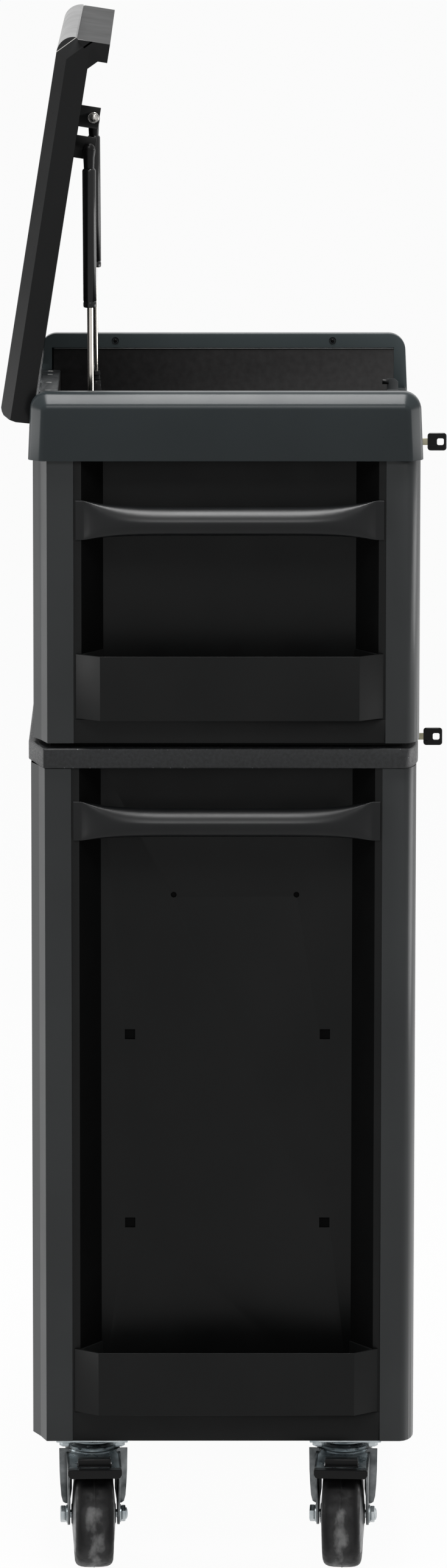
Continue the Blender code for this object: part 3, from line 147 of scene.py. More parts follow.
def spun(profile, segments=32, closed=False):
    """A profile of (radius, height) turned round Z."""
    shape = bmesh.new()
    points = [shape.verts.new((radius, 0, height)) for radius, height in profile]
    edges = [shape.edges.new(pair) for pair in zip(points, points[1:])]
    if closed:
        edges.append(shape.edges.new((points[-1], points[0])))
    bmesh.ops.spin(shape, geom=points + edges, cent=(0, 0, 0), axis=(0, 0, 1),
                   angle=math.tau, steps=segments, use_merge=True)
    bmesh.ops.remove_doubles(shape, verts=shape.verts, dist=0.000002)
    bmesh.ops.recalc_face_normals(shape, faces=shape.faces)
    return shape


def moved(shape, *matrices):
    for matrix in matrices:
        shape.transform(matrix)
    return shape


def at(x, y, z):
    return Matrix.Translation((x, y, z))


def mesh_of(name, shape):
    mesh = bpy.data.meshes.new(name)
    shape.to_mesh(mesh)
    shape.free()
    return mesh


def joined(shapes):
    """Several closed shapes in one mesh."""
    whole = bmesh.new()
    for shape in shapes:
        mesh = mesh_of("part", shape)
        whole.from_mesh(mesh)
        bpy.data.meshes.remove(mesh)
    return whole


def centre_of(face):
    return face.calc_center_median()


def middle_of(node):
    low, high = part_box(node)
    return (low + high) / 2


def in_scene(name, data):
    thing = bpy.data.objects.new(name, data)
    bpy.context.scene.collection.objects.link(thing)
    return thing


def body_of(node):
    return frame["nodes"][node]["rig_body"]


def piece_of(name, shape, materials, nodes=(), body=None, sharp=35):
    """A modelled shape as a piece that rides on its body and stands for its CAD nodes."""
    mesh = mesh_of(name, shape)
    for material in materials if isinstance(materials, tuple) else (materials,):
        mesh.materials.append(material)
    mesh.shade_smooth()
    if sharp:
        mesh.set_sharp_from_angle(angle=math.radians(sharp))
    thing = in_scene(name, mesh)
    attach(thing, body or body_of(nodes[0]))
    if nodes:
        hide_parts(*nodes)
    return thing


TO_X = Matrix.Rotation(math.pi / 2, 4, "Y")
TO_Y = Matrix.Rotation(-math.pi / 2, 4, "X")
TOE = {"front": -4.0, "rear": 2.5}  # degrees, how the swivel casters stand
CORE_RADIUS, TREAD_HALF = 0.0472, 0.0205
DUST_MOST, DUST_LEAST = 1.10, 0.2
# above this height the tread gets no dust: painted shade from the fork and the brake shoe
PAINTED_SHADE_FROM, PAINTED_SHADE_FADE = 0.33, 0.2  # how high it lies, in radii above the axle
HALF_TYRE = (  # radius, half width
    (0.0055, 0.0262), (0.0062, 0.0268), (0.0115, 0.0268), (0.0122, 0.0262), (0.0180, 0.0256),
    (0.0330, 0.0245), (0.0440, 0.0234), (0.0462, 0.0229), (0.0472, 0.0222), (0.0482, 0.0227),
    (0.0530, 0.0231), (0.0570, 0.0228), (0.0600, 0.0216), (0.0622, 0.0193), (0.0636, 0.0158),
    (0.0643, 0.0110), (0.0646, 0.0050), (0.0646, 0.0011), (0.0650, 0.0006))

tyre, nodes, links, shader = new_material("dusty_rubber_painted_shade", 0.5, specular=0.16)
dust_and_painted_shade = nodes.new("ShaderNodeAttribute")
dust_and_painted_shade.attribute_name = "dust_and_painted_shade"
dust_and_shade = combined(nodes, links, "MULTIPLY", noise_on(nodes, links, 42, 3.5, (1, 1.5, 1)),
                 dust_and_painted_shade.outputs["Fac"])
links.new(ramp_of(nodes, links, dust_and_shade, ((0.20, (0.0045, 0.0045, 0.0047)),
                                        (0.45, (0.030, 0.030, 0.0305)),
                                        (0.70, (0.200, 0.200, 0.200)))),
          shader.inputs["Base Color"])
textured(nodes, links, shader, 120, (0.34, 0.62), 420, 0.16, detail=3.0)
core = coating("wheel_core", (0.070, 0.072, 0.074), (0.150, 0.152, 0.155), (0.30, 0.45),
               grain=500.0, relief=0.08, patches=60.0, specular=0.4)
for end in ("front", "rear"):
    for kind, turn in (("swivel", TOE[end]), ("rigid", 0.0)):
        node = f"{end}_{kind}_wheel"
        shape = spun(HALF_TYRE + tuple((r, -w) for r, w in HALF_TYRE[::-1]), 72, closed=True)
        dust_and_shade_layer = shape.verts.layers.float.new("dust_and_painted_shade")  # it lies on the middle of the tread
        # the dust fades out on the tread's upper part, which paints the shade of the fork and the
        # brake shoe there
        for vert in shape.verts:
            raised = -vert.co.y / vert.co.xy.length
            unshaded_share = min(max(1 - (raised - PAINTED_SHADE_FROM) / PAINTED_SHADE_FADE, DUST_LEAST), 1)
            vert[dust_and_shade_layer] = max(DUST_LEAST, DUST_MOST - (vert.co.z / TREAD_HALF) ** 2) * unshaded_share
        for face in shape.faces:
            face.material_index = int(centre_of(face).xy.length < CORE_RADIUS)
        moved(shape, TO_Y, Matrix.Rotation(math.radians(turn), 4, "Z"),
              at(*middle_of(node)))
        piece_of(f"{node}_tyre", shape, (tyre, core), (node,))

# ---------------------------------------------------------------- caster frames
# Top plates, races and forks are pressed steel with a bluish bright zinc plating. Hex
# bolts hold the plates to the pan and the wheels in the forks; the pedals are nylon.

SHARP = 32  # degrees; a fold that is sharper has its edge broken
FLAT, MERGED = 0.6, 0.00001  # degrees and metres, within which a solid's facets are one


def bevelled(shape, edges, width, segments=2, clamp=True):
    bmesh.ops.bevel(shape, geom=edges, offset=width, segments=segments, profile=0.5,
                    affect="EDGES", material=-1, clamp_overlap=clamp)


def cut(shape, place, normal, faces=None, clear=False):
    """The whole shape, or only these faces of it, cut along a plane."""
    geom = shape.verts[:] + shape.edges[:] + shape.faces[:]
    if faces is not None:
        geom = list({part for face in faces for part in (face, *face.edges, *face.verts)})
    bmesh.ops.bisect_plane(shape, geom=geom, plane_co=place, plane_no=normal,
                           clear_outer=clear)


def block(low, high):
    low, high = Vector(low), Vector(high)
    shape = bmesh.new()
    bmesh.ops.create_cube(shape, size=1)
    bmesh.ops.scale(shape, vec=high - low, verts=shape.verts)
    bmesh.ops.translate(shape, vec=(low + high) / 2, verts=shape.verts)
    return shape


def rounded_block(low, high, rounding, segments=2):
    shape = block(low, high)
    bevelled(shape, shape.edges[:], rounding, segments)
    return shape


def drawn(outline, axis, low, high, rounding=0.0):
    """An upright outline drawn out along the axis across it, X or Y."""
    shape = bmesh.new()
    face = shape.faces.new([shape.verts.new((low, a, b) if axis == "X" else (a, low, b))
                            for a, b in outline])
    far = bmesh.ops.extrude_face_region(shape, geom=[face], use_keep_orig=True)["geom"]
    far = [part for part in far if isinstance(part, bmesh.types.BMVert)]
    step = Vector((1, 0, 0) if axis == "X" else (0, 1, 0))
    bmesh.ops.translate(shape, verts=far, vec=step * (high - low))
    bmesh.ops.recalc_face_normals(shape, faces=shape.faces)
    if rounding:
        sharp = math.radians(SHARP)
        bevelled(shape, [e for e in shape.edges if e.calc_face_angle() > sharp], rounding)
    return shape


def round_bar(radius, low, high, segments=32):
    return spun(((0, low), (radius, low), (radius, high), (0, high)), segments)


def hex_head(radius, low, high):
    """A hexagon head or nut on Z, its upper corners turned off."""
    shape = bmesh.new()
    bmesh.ops.create_cone(shape, cap_ends=True, segments=6, radius1=radius, radius2=radius,
                          depth=high - low)
    bmesh.ops.translate(shape, vec=(0, 0, (low + high) / 2), verts=shape.verts)
    rim = [edge for edge in shape.edges if abs(edge.verts[0].co.z - edge.verts[1].co.z) < 1e-6]
    bevelled(shape, rim, radius * 0.13)
    return shape


def eased(thing, width, angle, segments=2):
    """A small rounding on the edges that are sharper than the angle."""
    bevel = thing.modifiers.new("broken edges", "BEVEL")
    bevel.width = width
    bevel.segments = segments
    bevel.limit_method = "ANGLE"
    bevel.angle_limit = math.radians(angle)
    return bevel


def finished(node, materials, width, segments=2, takes=None):
    """A CAD node's shape with its edges broken, in the finish that the real one has."""
    shape = bmesh.new()
    shape.from_mesh(frame["nodes"][node].data)
    bmesh.ops.remove_doubles(shape, verts=shape.verts, dist=MERGED)
    bmesh.ops.dissolve_limit(shape, angle_limit=math.radians(FLAT), verts=shape.verts,
                             edges=shape.edges)
    for face in shape.faces:
        face.material_index = int(bool(takes and takes(face)))
    thing = piece_of(f"{node}_finished", shape, materials, (node,), sharp=None)
    eased(thing, width, SHARP, segments).harden_normals = True
    return thing


zinc = coating("bright_zinc", (0.22, 0.26, 0.28), (0.50, 0.53, 0.54), (0.22, 0.40),
               grain=190.0, patches=38.0, metallic=1.0)
dull_zinc = coating("dull_zinc", (0.060, 0.066, 0.068), (0.190, 0.200, 0.205), (0.30, 0.46),
                    grain=190.0, patches=55.0, metallic=1.0)
nylon = coating("black_nylon", (0.0035, 0.0036, 0.0038), (0.0055, 0.0056, 0.0058),
                (0.26, 0.32), relief=0.08, specular=0.15)
PLATE = (0.100, 0.086, 0.0030)
BOLT_X, BOLT_Y = 0.0385, 0.0320
CROWN_TOP, CROWN_LOW = 0.1455, 0.1400
TRAIL, AXLE_HEIGHT = 0.035, 0.065
LEG_INSIDE, LEG_SHEET, LEG_BOSS = 0.0285, 0.0030, 0.0135
LEG_BEND, LEG_FLARE = 0.085, 0.02
WASHER, NUT_REACH = 0.0014, 0.0096
RIB_X, HOOD_SHEET = -0.030, 0.0020
HOOD_TIP = (-0.0795, CROWN_TOP - 0.0125)
PAD_WINDOW = (-0.0778, -0.0600, 0.0206)


def plate_with_race(top):
    """The top plate, the upper race pressed under it and the riveted king bolt."""
    x, y, thickness = PLATE
    plate = rounded_block((-x / 2, -y / 2, top - thickness), (x / 2, y / 2, top), 0.0008)
    under = top - thickness
    race = spun(((0.0080, under + 0.0010), (0.0262, under + 0.0010), (0.0270, under - 0.0006),
                 (0.0298, under - 0.0022), (0.0310, under - 0.0046), (0.0306, under - 0.0068),
                 (0.0285, under - 0.0080), (0.0255, under - 0.0086), (0.0240, under - 0.0107),
                 (0.0080, under - 0.0107)), 72, closed=True)
    low = CROWN_LOW - 0.0005
    bolt = spun(((0, under), (0.0078, under), (0.0078, low), (0.0118, low),
                 (0.0114, low - 0.0022), (0.0080, low - 0.0037), (0, low - 0.0040)), 40)
    return joined([plate, race, bolt])


def plate_bolts(under):
    """Four hexagon heads on washers, which clamp the plate to the pan."""
    return joined([moved(shape, at(x, y, 0))
                   for x in (-BOLT_X, BOLT_X) for y in (-BOLT_Y, BOLT_Y)
                   for shape in (round_bar(0.0086, under - WASHER, under),
                                 hex_head(0.0074, under - 0.0062, under - WASHER))])


def fork_leg(side, upper):
    """A leg of sheet from its upper corners to the round boss at the axle, flared above."""
    outline = list(upper)
    for step in range(13):
        angle = math.radians(-30 - 12.5 * step)
        outline.append((LEG_BOSS * math.cos(angle) - TRAIL,
                        AXLE_HEIGHT + LEG_BOSS * math.sin(angle)))
    low, high = sorted((side * LEG_INSIDE, side * (LEG_INSIDE + LEG_SHEET)))
    shape = drawn(outline, "Y", low, high, 0.0005)
    cut(shape, (0, 0, LEG_BEND), (0, 0, 1))
    for vert in shape.verts:
        vert.co.y += side * LEG_FLARE * max(vert.co.z - LEG_BEND, 0)
    return shape


def stiffening_rib(side):
    """An upright web on the outside of a leg, from the crown down to the axle."""
    outline = [(0.0258, 0.0950), (0.0258, 0.1390), (0.0300, 0.1450), (0.0412, 0.1450),
               (0.0408, 0.1180), (0.0400, 0.1010), (0.0388, 0.0860), (0.0368, 0.0785),
               (0.0335, 0.0766), (0.0285, 0.0766)]
    return drawn([(side * a, b) for a, b in outline], "X", RIB_X, RIB_X + 0.0020, 0.0004)


def crown_sheet():
    """The fork's top and its sloping hood in one sheet, with the pedal pad's window."""
    half = LEG_INSIDE + LEG_SHEET + LEG_FLARE * (CROWN_TOP - LEG_BEND) - 0.0012
    line = ((0.0310, -0.0045), (-0.0240, -0.0045), (-0.0440, -0.0062), (HOOD_TIP[0], -0.0125))
    shape = bmesh.new()
    near = [shape.verts.new((x, -half, CROWN_TOP + z)) for x, z in line]
    edges = [shape.edges.new(pair) for pair in zip(near, near[1:])]
    far = bmesh.ops.extrude_edge_only(shape, edges=edges)["geom"]
    bmesh.ops.translate(shape, vec=(0, 2 * half, 0),
                        verts=[v for v in far if isinstance(v, bmesh.types.BMVert)])
    low_x, high_x, reach = PAD_WINDOW
    for place, normal in (((low_x, 0, 0), (1, 0, 0)), ((high_x, 0, 0), (1, 0, 0)),
                          ((0, -reach, 0), (0, 1, 0)), ((0, reach, 0), (0, 1, 0))):
        cut(shape, place, normal)
    window = [face for face in shape.faces
              if low_x < centre_of(face).x < high_x
              and abs(centre_of(face).y) < reach]
    bmesh.ops.delete(shape, geom=window, context="FACES")
    shape.normal_update()
    for face in shape.faces:
        if face.normal.z < 0:
            face.normal_flip()
    bmesh.ops.solidify(shape, geom=shape.faces[:], thickness=HOOD_SHEET)
    bmesh.ops.recalc_face_normals(shape, faces=shape.faces)
    return shape


def fork_pressing():
    bowl = spun(((0.0088, CROWN_TOP - 0.0030), (0.0235, CROWN_TOP - 0.0030),
                 (0.0262, CROWN_TOP - 0.0008), (0.0298, CROWN_TOP), (0.0326, CROWN_TOP - 0.0008),
                 (0.0340, CROWN_TOP - 0.0026), (0.0335, CROWN_TOP - 0.0045),
                 (0.0310, CROWN_LOW), (0.0088, CROWN_LOW)), 72, closed=True)
    tip_x, tip_z = HOOD_TIP
    upper = [(tip_x, tip_z - 0.0036), (tip_x, tip_z), (-0.0440, CROWN_TOP - 0.0058),
             (-0.0240, CROWN_TOP - 0.0042), (0.0310, CROWN_TOP - 0.0042),
             (0.0310, CROWN_TOP - 0.0190)]
    whole = joined([bowl, crown_sheet(), fork_leg(-1, upper), fork_leg(1, upper),
                    stiffening_rib(-1), stiffening_rib(1)])
    for face in whole.faces:
        face.material_index = int(abs(centre_of(face).y) > LEG_INSIDE - 0.0020)
    return whole


def axle():
    """The wheel's bolt: a hexagon head with a washer, and a domed lock nut."""
    outer = LEG_INSIDE + LEG_SHEET + 0.0002
    shank = round_bar(0.0050, -outer - 0.0020, outer + 0.0020)
    washers = [round_bar(0.0108, low, low + WASHER, 40) for low in (-outer - WASHER, outer)]
    head = hex_head(0.0104, outer + WASHER, outer + 0.0084)
    nut = hex_head(0.0102, -outer - NUT_REACH * 0.72, -outer - WASHER)
    dome = spun([(radius, -outer - NUT_REACH * share) for radius, share in (
        (0, 1), (0.0042, 0.97), (0.0068, 0.85), (0.0074, 0.70), (0, 0.68))])
    return moved(joined([shank, head, nut, dome, *washers]), TO_Y)


def pedal_moulding():
    """A wide foot bar, an upright pad through the hood's window, and the shoe below."""
    bar_x, low = HOOD_TIP[0] - 0.0012, HOOD_TIP[1] - 0.0098
    half = ((0.0288, low), (0.0306, low + 0.0010), (0.0325, low + 0.0044), (0.0325, low + 0.0098))
    bar = drawn([(-y, z) for y, z in half] + [(y, z) for y, z in half[::-1]], "X",
                bar_x - 0.0135, bar_x, 0.0009)
    lip = rounded_block((bar_x - 0.0139, -0.0318, low + 0.0084),
                        (bar_x - 0.0005, 0.0318, low + 0.0103), 0.0008)
    pad = rounded_block((-0.0762, -0.0198, HOOD_TIP[1] - 0.0035),
                        (-0.0618, 0.0198, CROWN_TOP - 0.0028), 0.0011, 3)
    rib = rounded_block((-0.0768, -0.0188, CROWN_TOP - 0.0128),
                        (-0.0750, 0.0188, CROWN_TOP - 0.0108), 0.0006)
    shoe = drawn([(-0.0890, low + 0.0040), (-0.0880, low + 0.0010), (-0.0815, low - 0.0010),
                  (-0.0720, 0.1254), (-0.0612, 0.1292), (-0.0612, 0.1310),
                  (-0.0780, 0.1304)], "Y", -0.0195, 0.0195, 0.0008)
    arms = [drawn([(-0.0780, 0.1262), (-0.0780, 0.1290), (-0.0500, 0.1345), (-0.0405, 0.1388),
                   (-0.0360, 0.1382), (-0.0350, 0.1350), (-0.0390, 0.1328)],
                  "Y", low_y, low_y + 0.0032, 0.0006) for low_y in (-0.0190, 0.0158)]
    pivot = moved(round_bar(0.0027, -0.0316, 0.0316, 24), TO_Y, at(-0.0390, 0, 0.1358))
    return joined([bar, lip, pad, rib, shoe, *arms, pivot])


for end in ("front", "rear"):
    axis = middle_of(f"{end}_caster_plate")
    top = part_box(f"{end}_caster_plate")[1].z
    fixed = at(axis.x, axis.y, 0)
    swung = fixed @ Matrix.Rotation(math.radians(TOE[end]), 4, "Z")
    piece_of(f"{end}_caster_plate_pressing", moved(plate_with_race(top), fixed), zinc,
             (f"{end}_caster_plate",))
    piece_of(f"{end}_caster_fork_pressing", moved(fork_pressing(), swung),
             (zinc, dull_zinc), (f"{end}_caster_fork",))
    piece_of(f"{end}_wheel_bolt", moved(axle(), at(-TRAIL, 0, AXLE_HEIGHT), swung), zinc,
             (f"{end}_axle_bolt",))
    piece_of(f"{end}_pedal_moulding", moved(pedal_moulding(), swung), nylon,
             (f"{end}_brake_pedal",))
    finished(f"{end}_rigid_bracket", zinc, 0.0005)
    body = body_of(f"{end}_caster_plate")
    for kind, centre in (("caster", fixed), ("rigid", at(-axis.x, axis.y, 0))):
        piece_of(f"{end}_{kind}_plate_bolts", moved(plate_bolts(top - PLATE[2]), centre), zinc,
                 body=body)

# ---------------------------------------------------------------- cabinet
# Folded sheet steel: slate grey posts, rail, rear shell and drawers, and black recess
# panels, pan and pocket tray. Zinc-plated racks behind the panels carry the drawer slides.
# The recess panels' flanks and the racks' sides behind the panel holes get a near-black
# paint that stands in for the shade there.

slate = coating("slate_powder_coat", (0.033, 0.035, 0.036), (0.040, 0.043, 0.044), (0.28, 0.33),
                patches=5.0, specular=0.15)
black = coating("black_powder_coat", (0.0060, 0.0064, 0.0064), (0.0085, 0.0088, 0.0088),
                (0.36, 0.44), relief=0.08, patches=7.0, specular=0.12)
# a near-black paint that stands in for shade: painted shade on the recesses' flanks and behind
# the panels' holes
shade_paint = coating("painted_shade_black", (0.0024, 0.0025, 0.0025), (0.0034, 0.0035, 0.0035),
                (0.70, 0.80), relief=0.02, specular=0.03)
FOLD_FROM_END, FOLD_DEPTH = 0.0242, 0.0013
FACETS = (0.005, 0.013)  # where the fold lies, from the back
SHEET_EDGE, TRAY_EDGE, DRAWER_EDGE, RACK_EDGE = 0.0004, 0.0006, 0.0005, 0.0002
LINER = 0.0004  # the depth of the rack's face towards the recess panel
TOUCH = 0.0001  # places that are nearer than this are the same


def creased(shell):
    """The folded rear corners: a fold between each corner's two facets stands inwards."""
    shape = bmesh.new()
    shape.from_mesh(shell.data)
    high_x = max(vert.co.x for vert in shape.verts)
    high_y = max(vert.co.y for vert in shape.verts)
    for side in (-1, 1):
        facet = [f for f in shape.faces if f.normal.x * f.normal.y * side and
                 0.2 < abs(f.normal.x) < 0.6 and abs(f.normal.z) < 0.1
                 and centre_of(f).x * side > 0]
        cut(shape, (side * (high_x - FOLD_FROM_END), 0, 0), (1, 0, 0), facet)
    for vert in shape.verts:
        from_end, from_back = high_x - abs(vert.co.x), high_y - vert.co.y
        if abs(from_end - FOLD_FROM_END) < TOUCH and FACETS[0] < from_back < FACETS[1]:
            vert.co.y -= FOLD_DEPTH
    shape.to_mesh(shell.data)
    shape.free()
    shell.data.shade_smooth()
    shell.data.set_sharp_from_angle(angle=math.radians(3))


def dress_case(case, drawers):
    """The sheets, slide racks, pocket tray and drawers of the cabinet or the chest."""
    for side in ("left", "right"):
        finished(f"{case}_{side}_front_post", slate, SHEET_EDGE)
        # the recess panel's flanks are painted near black as shade
        finished(f"{case}_{side}_recess_panel", (black, shade_paint), SHEET_EDGE,
                 takes=lambda face: abs(face.normal.y) > 0.5)  # its flanks, in deep shade
        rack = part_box(f"{case}_{side}_slide_rack")
        liner = max(abs(corner.x) for corner in rack) - LINER
        # the rack's side towards the panel, seen through the holes, is painted near black as
        # shade
        finished(f"{case}_{side}_slide_rack", (zinc, shade_paint), RACK_EDGE,
                 takes=lambda face: (abs(face.normal.x) > 0.9  # its side to the recess panel
                                     and abs(centre_of(face).x) > liner))
    creased(finished(f"{case}_rear_shell", slate, SHEET_EDGE))
    finished(f"{case}_top_rail", slate, SHEET_EDGE)
    finished(f"{case}_base_pan", black, SHEET_EDGE)
    finished(f"{case}_left_pocket", black, TRAY_EDGE, 3)
    for number in range(1, drawers + 1):
        finished(f"{case}_drawer_{number}", slate, DRAWER_EDGE)


dress_case("cabinet", 4)

# ---------------------------------------------------------------- handles
# One-piece black mouldings: a bar with a full round front, which swells out of two flat
# end plates that are screwed to the recess's lips from behind.

HANDLE_STATIONS = (  # from the end, outward reach, thickness, flare, squareness
    (0.0000, 0.000, 0.00, 1.000, 9.0), (0.0014, 0.005, 0.02, 1.000, 9.0),
    (0.0082, 0.010, 0.03, 1.000, 8.5), (0.0105, 0.060, 0.10, 0.965, 7.5),
    (0.0150, 0.185, 0.25, 0.840, 5.6), (0.0210, 0.330, 0.43, 0.680, 4.2),
    (0.0290, 0.480, 0.60, 0.500, 3.4), (0.0390, 0.630, 0.75, 0.340, 2.9),
    (0.0500, 0.755, 0.86, 0.225, 2.5), (0.0620, 0.850, 0.94, 0.140, 2.3),
    (0.0760, 0.930, 0.985, 0.070, 2.2), (0.0920, 0.980, 1.00, 0.025, 2.1),
    (0.1100, 1.000, 1.00, 0.000, 2.1), (0.1400, 1.000, 1.00, 0.000, 2.1))
HANDLE_PLATE = 0.0024
GAP_OUTSIDE, GAP_INSIDE = 0.0004, 0.0002
BAR_THICKNESS, BAR_HEIGHT, FULL_HEIGHT = 0.0203, 0.0328, 0.0468
FRONT_SHARE = 0.74  # of the thickness, in front of the widest line
HANDLE_LEAN = 0.18  # the section's top leans back, so the palm lies on it
SLOPED = 1.55  # how full the upper front quarter is; 2 is an ellipse
BACK_SQUARER = 1.2
HANDLE_SIDES = 48


def handle_loft(low, high, side):
    """Rings from one end plate to the other, on the side (-1 left, 1 right)."""
    centre_z = (low.z + high.z) / 2
    outer = max(abs(low.x), abs(high.x)) - GAP_OUTSIDE
    inner = min(abs(low.x), abs(high.x)) + GAP_INSIDE
    reach_all = outer - inner - HANDLE_PLATE
    rings = [(low.y + station[0], *station[1:]) for station in HANDLE_STATIONS]
    rings += [(high.y - station[0], *station[1:]) for station in HANDLE_STATIONS[::-1]]
    shape = bmesh.new()
    loops = []
    for y, reach, swell, flare, square in rings:
        front = inner + HANDLE_PLATE + reach_all * reach
        depth = HANDLE_PLATE + (BAR_THICKNESS - HANDLE_PLATE) * swell
        height = BAR_HEIGHT + (FULL_HEIGHT - BAR_HEIGHT) * flare
        widest = front - depth * FRONT_SHARE
        corners = []
        for i in range(HANDLE_SIDES):
            angle = math.tau * (i + 0.5) / HANDLE_SIDES
            facing, rising = math.cos(angle), math.sin(angle)
            bend = square if facing > 0 else square + BACK_SQUARER
            if facing > 0 and rising > 0:
                bend -= (square - SLOPED) * swell
            across = math.copysign(abs(facing) ** (2 / bend), facing)
            up = math.copysign(abs(rising) ** (2 / bend), rising)
            share = FRONT_SHARE if across > 0 else 1 - FRONT_SHARE
            lean = HANDLE_LEAN * swell * height / 2 * up
            x = max(widest + depth * share * across - lean, inner)
            corners.append(shape.verts.new((side * x, y, centre_z + height / 2 * up)))
        loops.append([shape.edges.new((corners[i - 1], corners[i]))
                      for i in range(HANDLE_SIDES)])
    for first, second in zip(loops, loops[1:]):
        bmesh.ops.bridge_loops(shape, edges=first + second)
    bmesh.ops.contextual_create(shape, geom=loops[0])
    bmesh.ops.contextual_create(shape, geom=loops[-1])
    bmesh.ops.recalc_face_normals(shape, faces=shape.faces)
    return shape


grip = coating("satin_black_moulding", (0.0050, 0.0055, 0.0060), (0.0070, 0.0075, 0.0080),
               (0.30, 0.33), grain=700.0, patches=12.0, specular=0.20)
for node, side in (("cabinet_left_handle", -1), ("chest_left_handle", -1),
                   ("chest_right_handle", 1)):
    piece_of(f"{node}_moulding", handle_loft(*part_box(node), side), grip,
             (node,), sharp=50)

# ---------------------------------------------------------------- worktop
# A black moulded slab with pale flecks in it and a grained face. It lies on the cabinet,
# and its edges are rounded.

FLECK_REACH, FLECKLESS = 0.17, 0.86  # of a cell, and of all cells
flecked, nodes, links, shader = new_material("flecked_black_top", 0.5, specular=0.30)
clouds = ramp_of(nodes, links, noise_on(nodes, links, 260, 3.0),
                 ((0.35, (0.009, 0.0095, 0.010)), (0.65, (0.019, 0.0205, 0.022))))
place = nodes.new("ShaderNodeTexCoord")
cells = nodes.new("ShaderNodeTexVoronoi")
cells.inputs["Scale"].default_value = 420
links.new(place.outputs["Object"], cells.inputs["Vector"])
parts = nodes.new("ShaderNodeSeparateColor")
links.new(cells.outputs["Color"], parts.inputs["Color"])
flecks = combined(nodes, links, "MULTIPLY",
                  combined(nodes, links, "LESS_THAN", cells.outputs["Distance"], FLECK_REACH),
                  combined(nodes, links, "GREATER_THAN", parts.outputs["Red"], FLECKLESS))
speckled = nodes.new("ShaderNodeMix")
speckled.data_type = "RGBA"
speckled.inputs["B"].default_value = (0.42, 0.44, 0.45, 1)
links.new(flecks, speckled.inputs["Factor"])
links.new(clouds, speckled.inputs["A"])
links.new(speckled.outputs["Result"], shader.inputs["Base Color"])
textured(nodes, links, shader, 500, (0.32, 0.55), 1100, 0.55, 0.0005)
finished("worktop", flecked, 0.0022, 3)

# ---------------------------------------------------------------- top chest
# The same folded steel as the cabinet, with a black till pan under the lid. A hem stiffens
# the upper edge of the till's side walls; it is painted the lighter slate rather than the
# till's black, as a painted highlight along the walls' top.

dress_case("chest", 3)
HEM = 0.0017
till_coat = coating("black_till_coat", (0.0130, 0.0125, 0.0125), (0.0200, 0.0195, 0.0195),
                    (0.40, 0.48), relief=0.10, patches=120.0, specular=0.13)
till = finished("chest_till_pan", till_coat, 0.0003)
low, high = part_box("chest_till_pan")
for vert in till.data.vertices:
    if vert.co.z > high.z - HEM:
        vert.co.z = high.z - 1.1 * HEM
hems = []
for side in (-1, 1):
    bar = spun(((0, low.y + 0.0004), (HEM / 2, low.y + 0.0010), (HEM / 2, high.y - 0.0010),
                (0, high.y - 0.0004)), 16)
    hems.append(moved(bar, TO_Y, at(side * (high.x - HEM / 2), 0, high.z - HEM / 2)))
# the hems take the lighter slate, not the till's black: a painted highlight along the top of the
# walls
piece_of("till_wall_hems", joined(hems), slate, body="chest_body")

# ---------------------------------------------------------------- end cheeks
# Slate grey mouldings that cap the two ends: a broad chamfer round a flat face, open below,
# with a band over the till's wall that two screws hold on. The inner faces take the same
# moulding painted lighter, as painted light on the band.

moulded = coating("slate_moulding", (0.0215, 0.0270, 0.0290), (0.0265, 0.0330, 0.0355),
                  (0.27, 0.31), patches=5.0, specular=0.15)
# the cheeks' inner faces: the same slate moulding painted lighter, as painted light where the
# band catches more light
painted_light_band = coating("slate_moulding_painted_lighter", (0.050, 0.062, 0.065), (0.060, 0.074, 0.078),
                     (0.30, 0.36), patches=5.0, specular=0.18)
CHEEK_WALL, CHEEK_BAND, CHEEK_LEG = 0.0025, 0.018, 0.0140
CHEEK_DRAFT, CHEEK_CORNER, CHEEK_CHAMFER, CHEEK_SOFT = 0.0035, 0.0200, 0.0150, 0.0042
CHEEK_EDGE = 0.0007
SCREW_AT = 0.137  # from the chest's middle


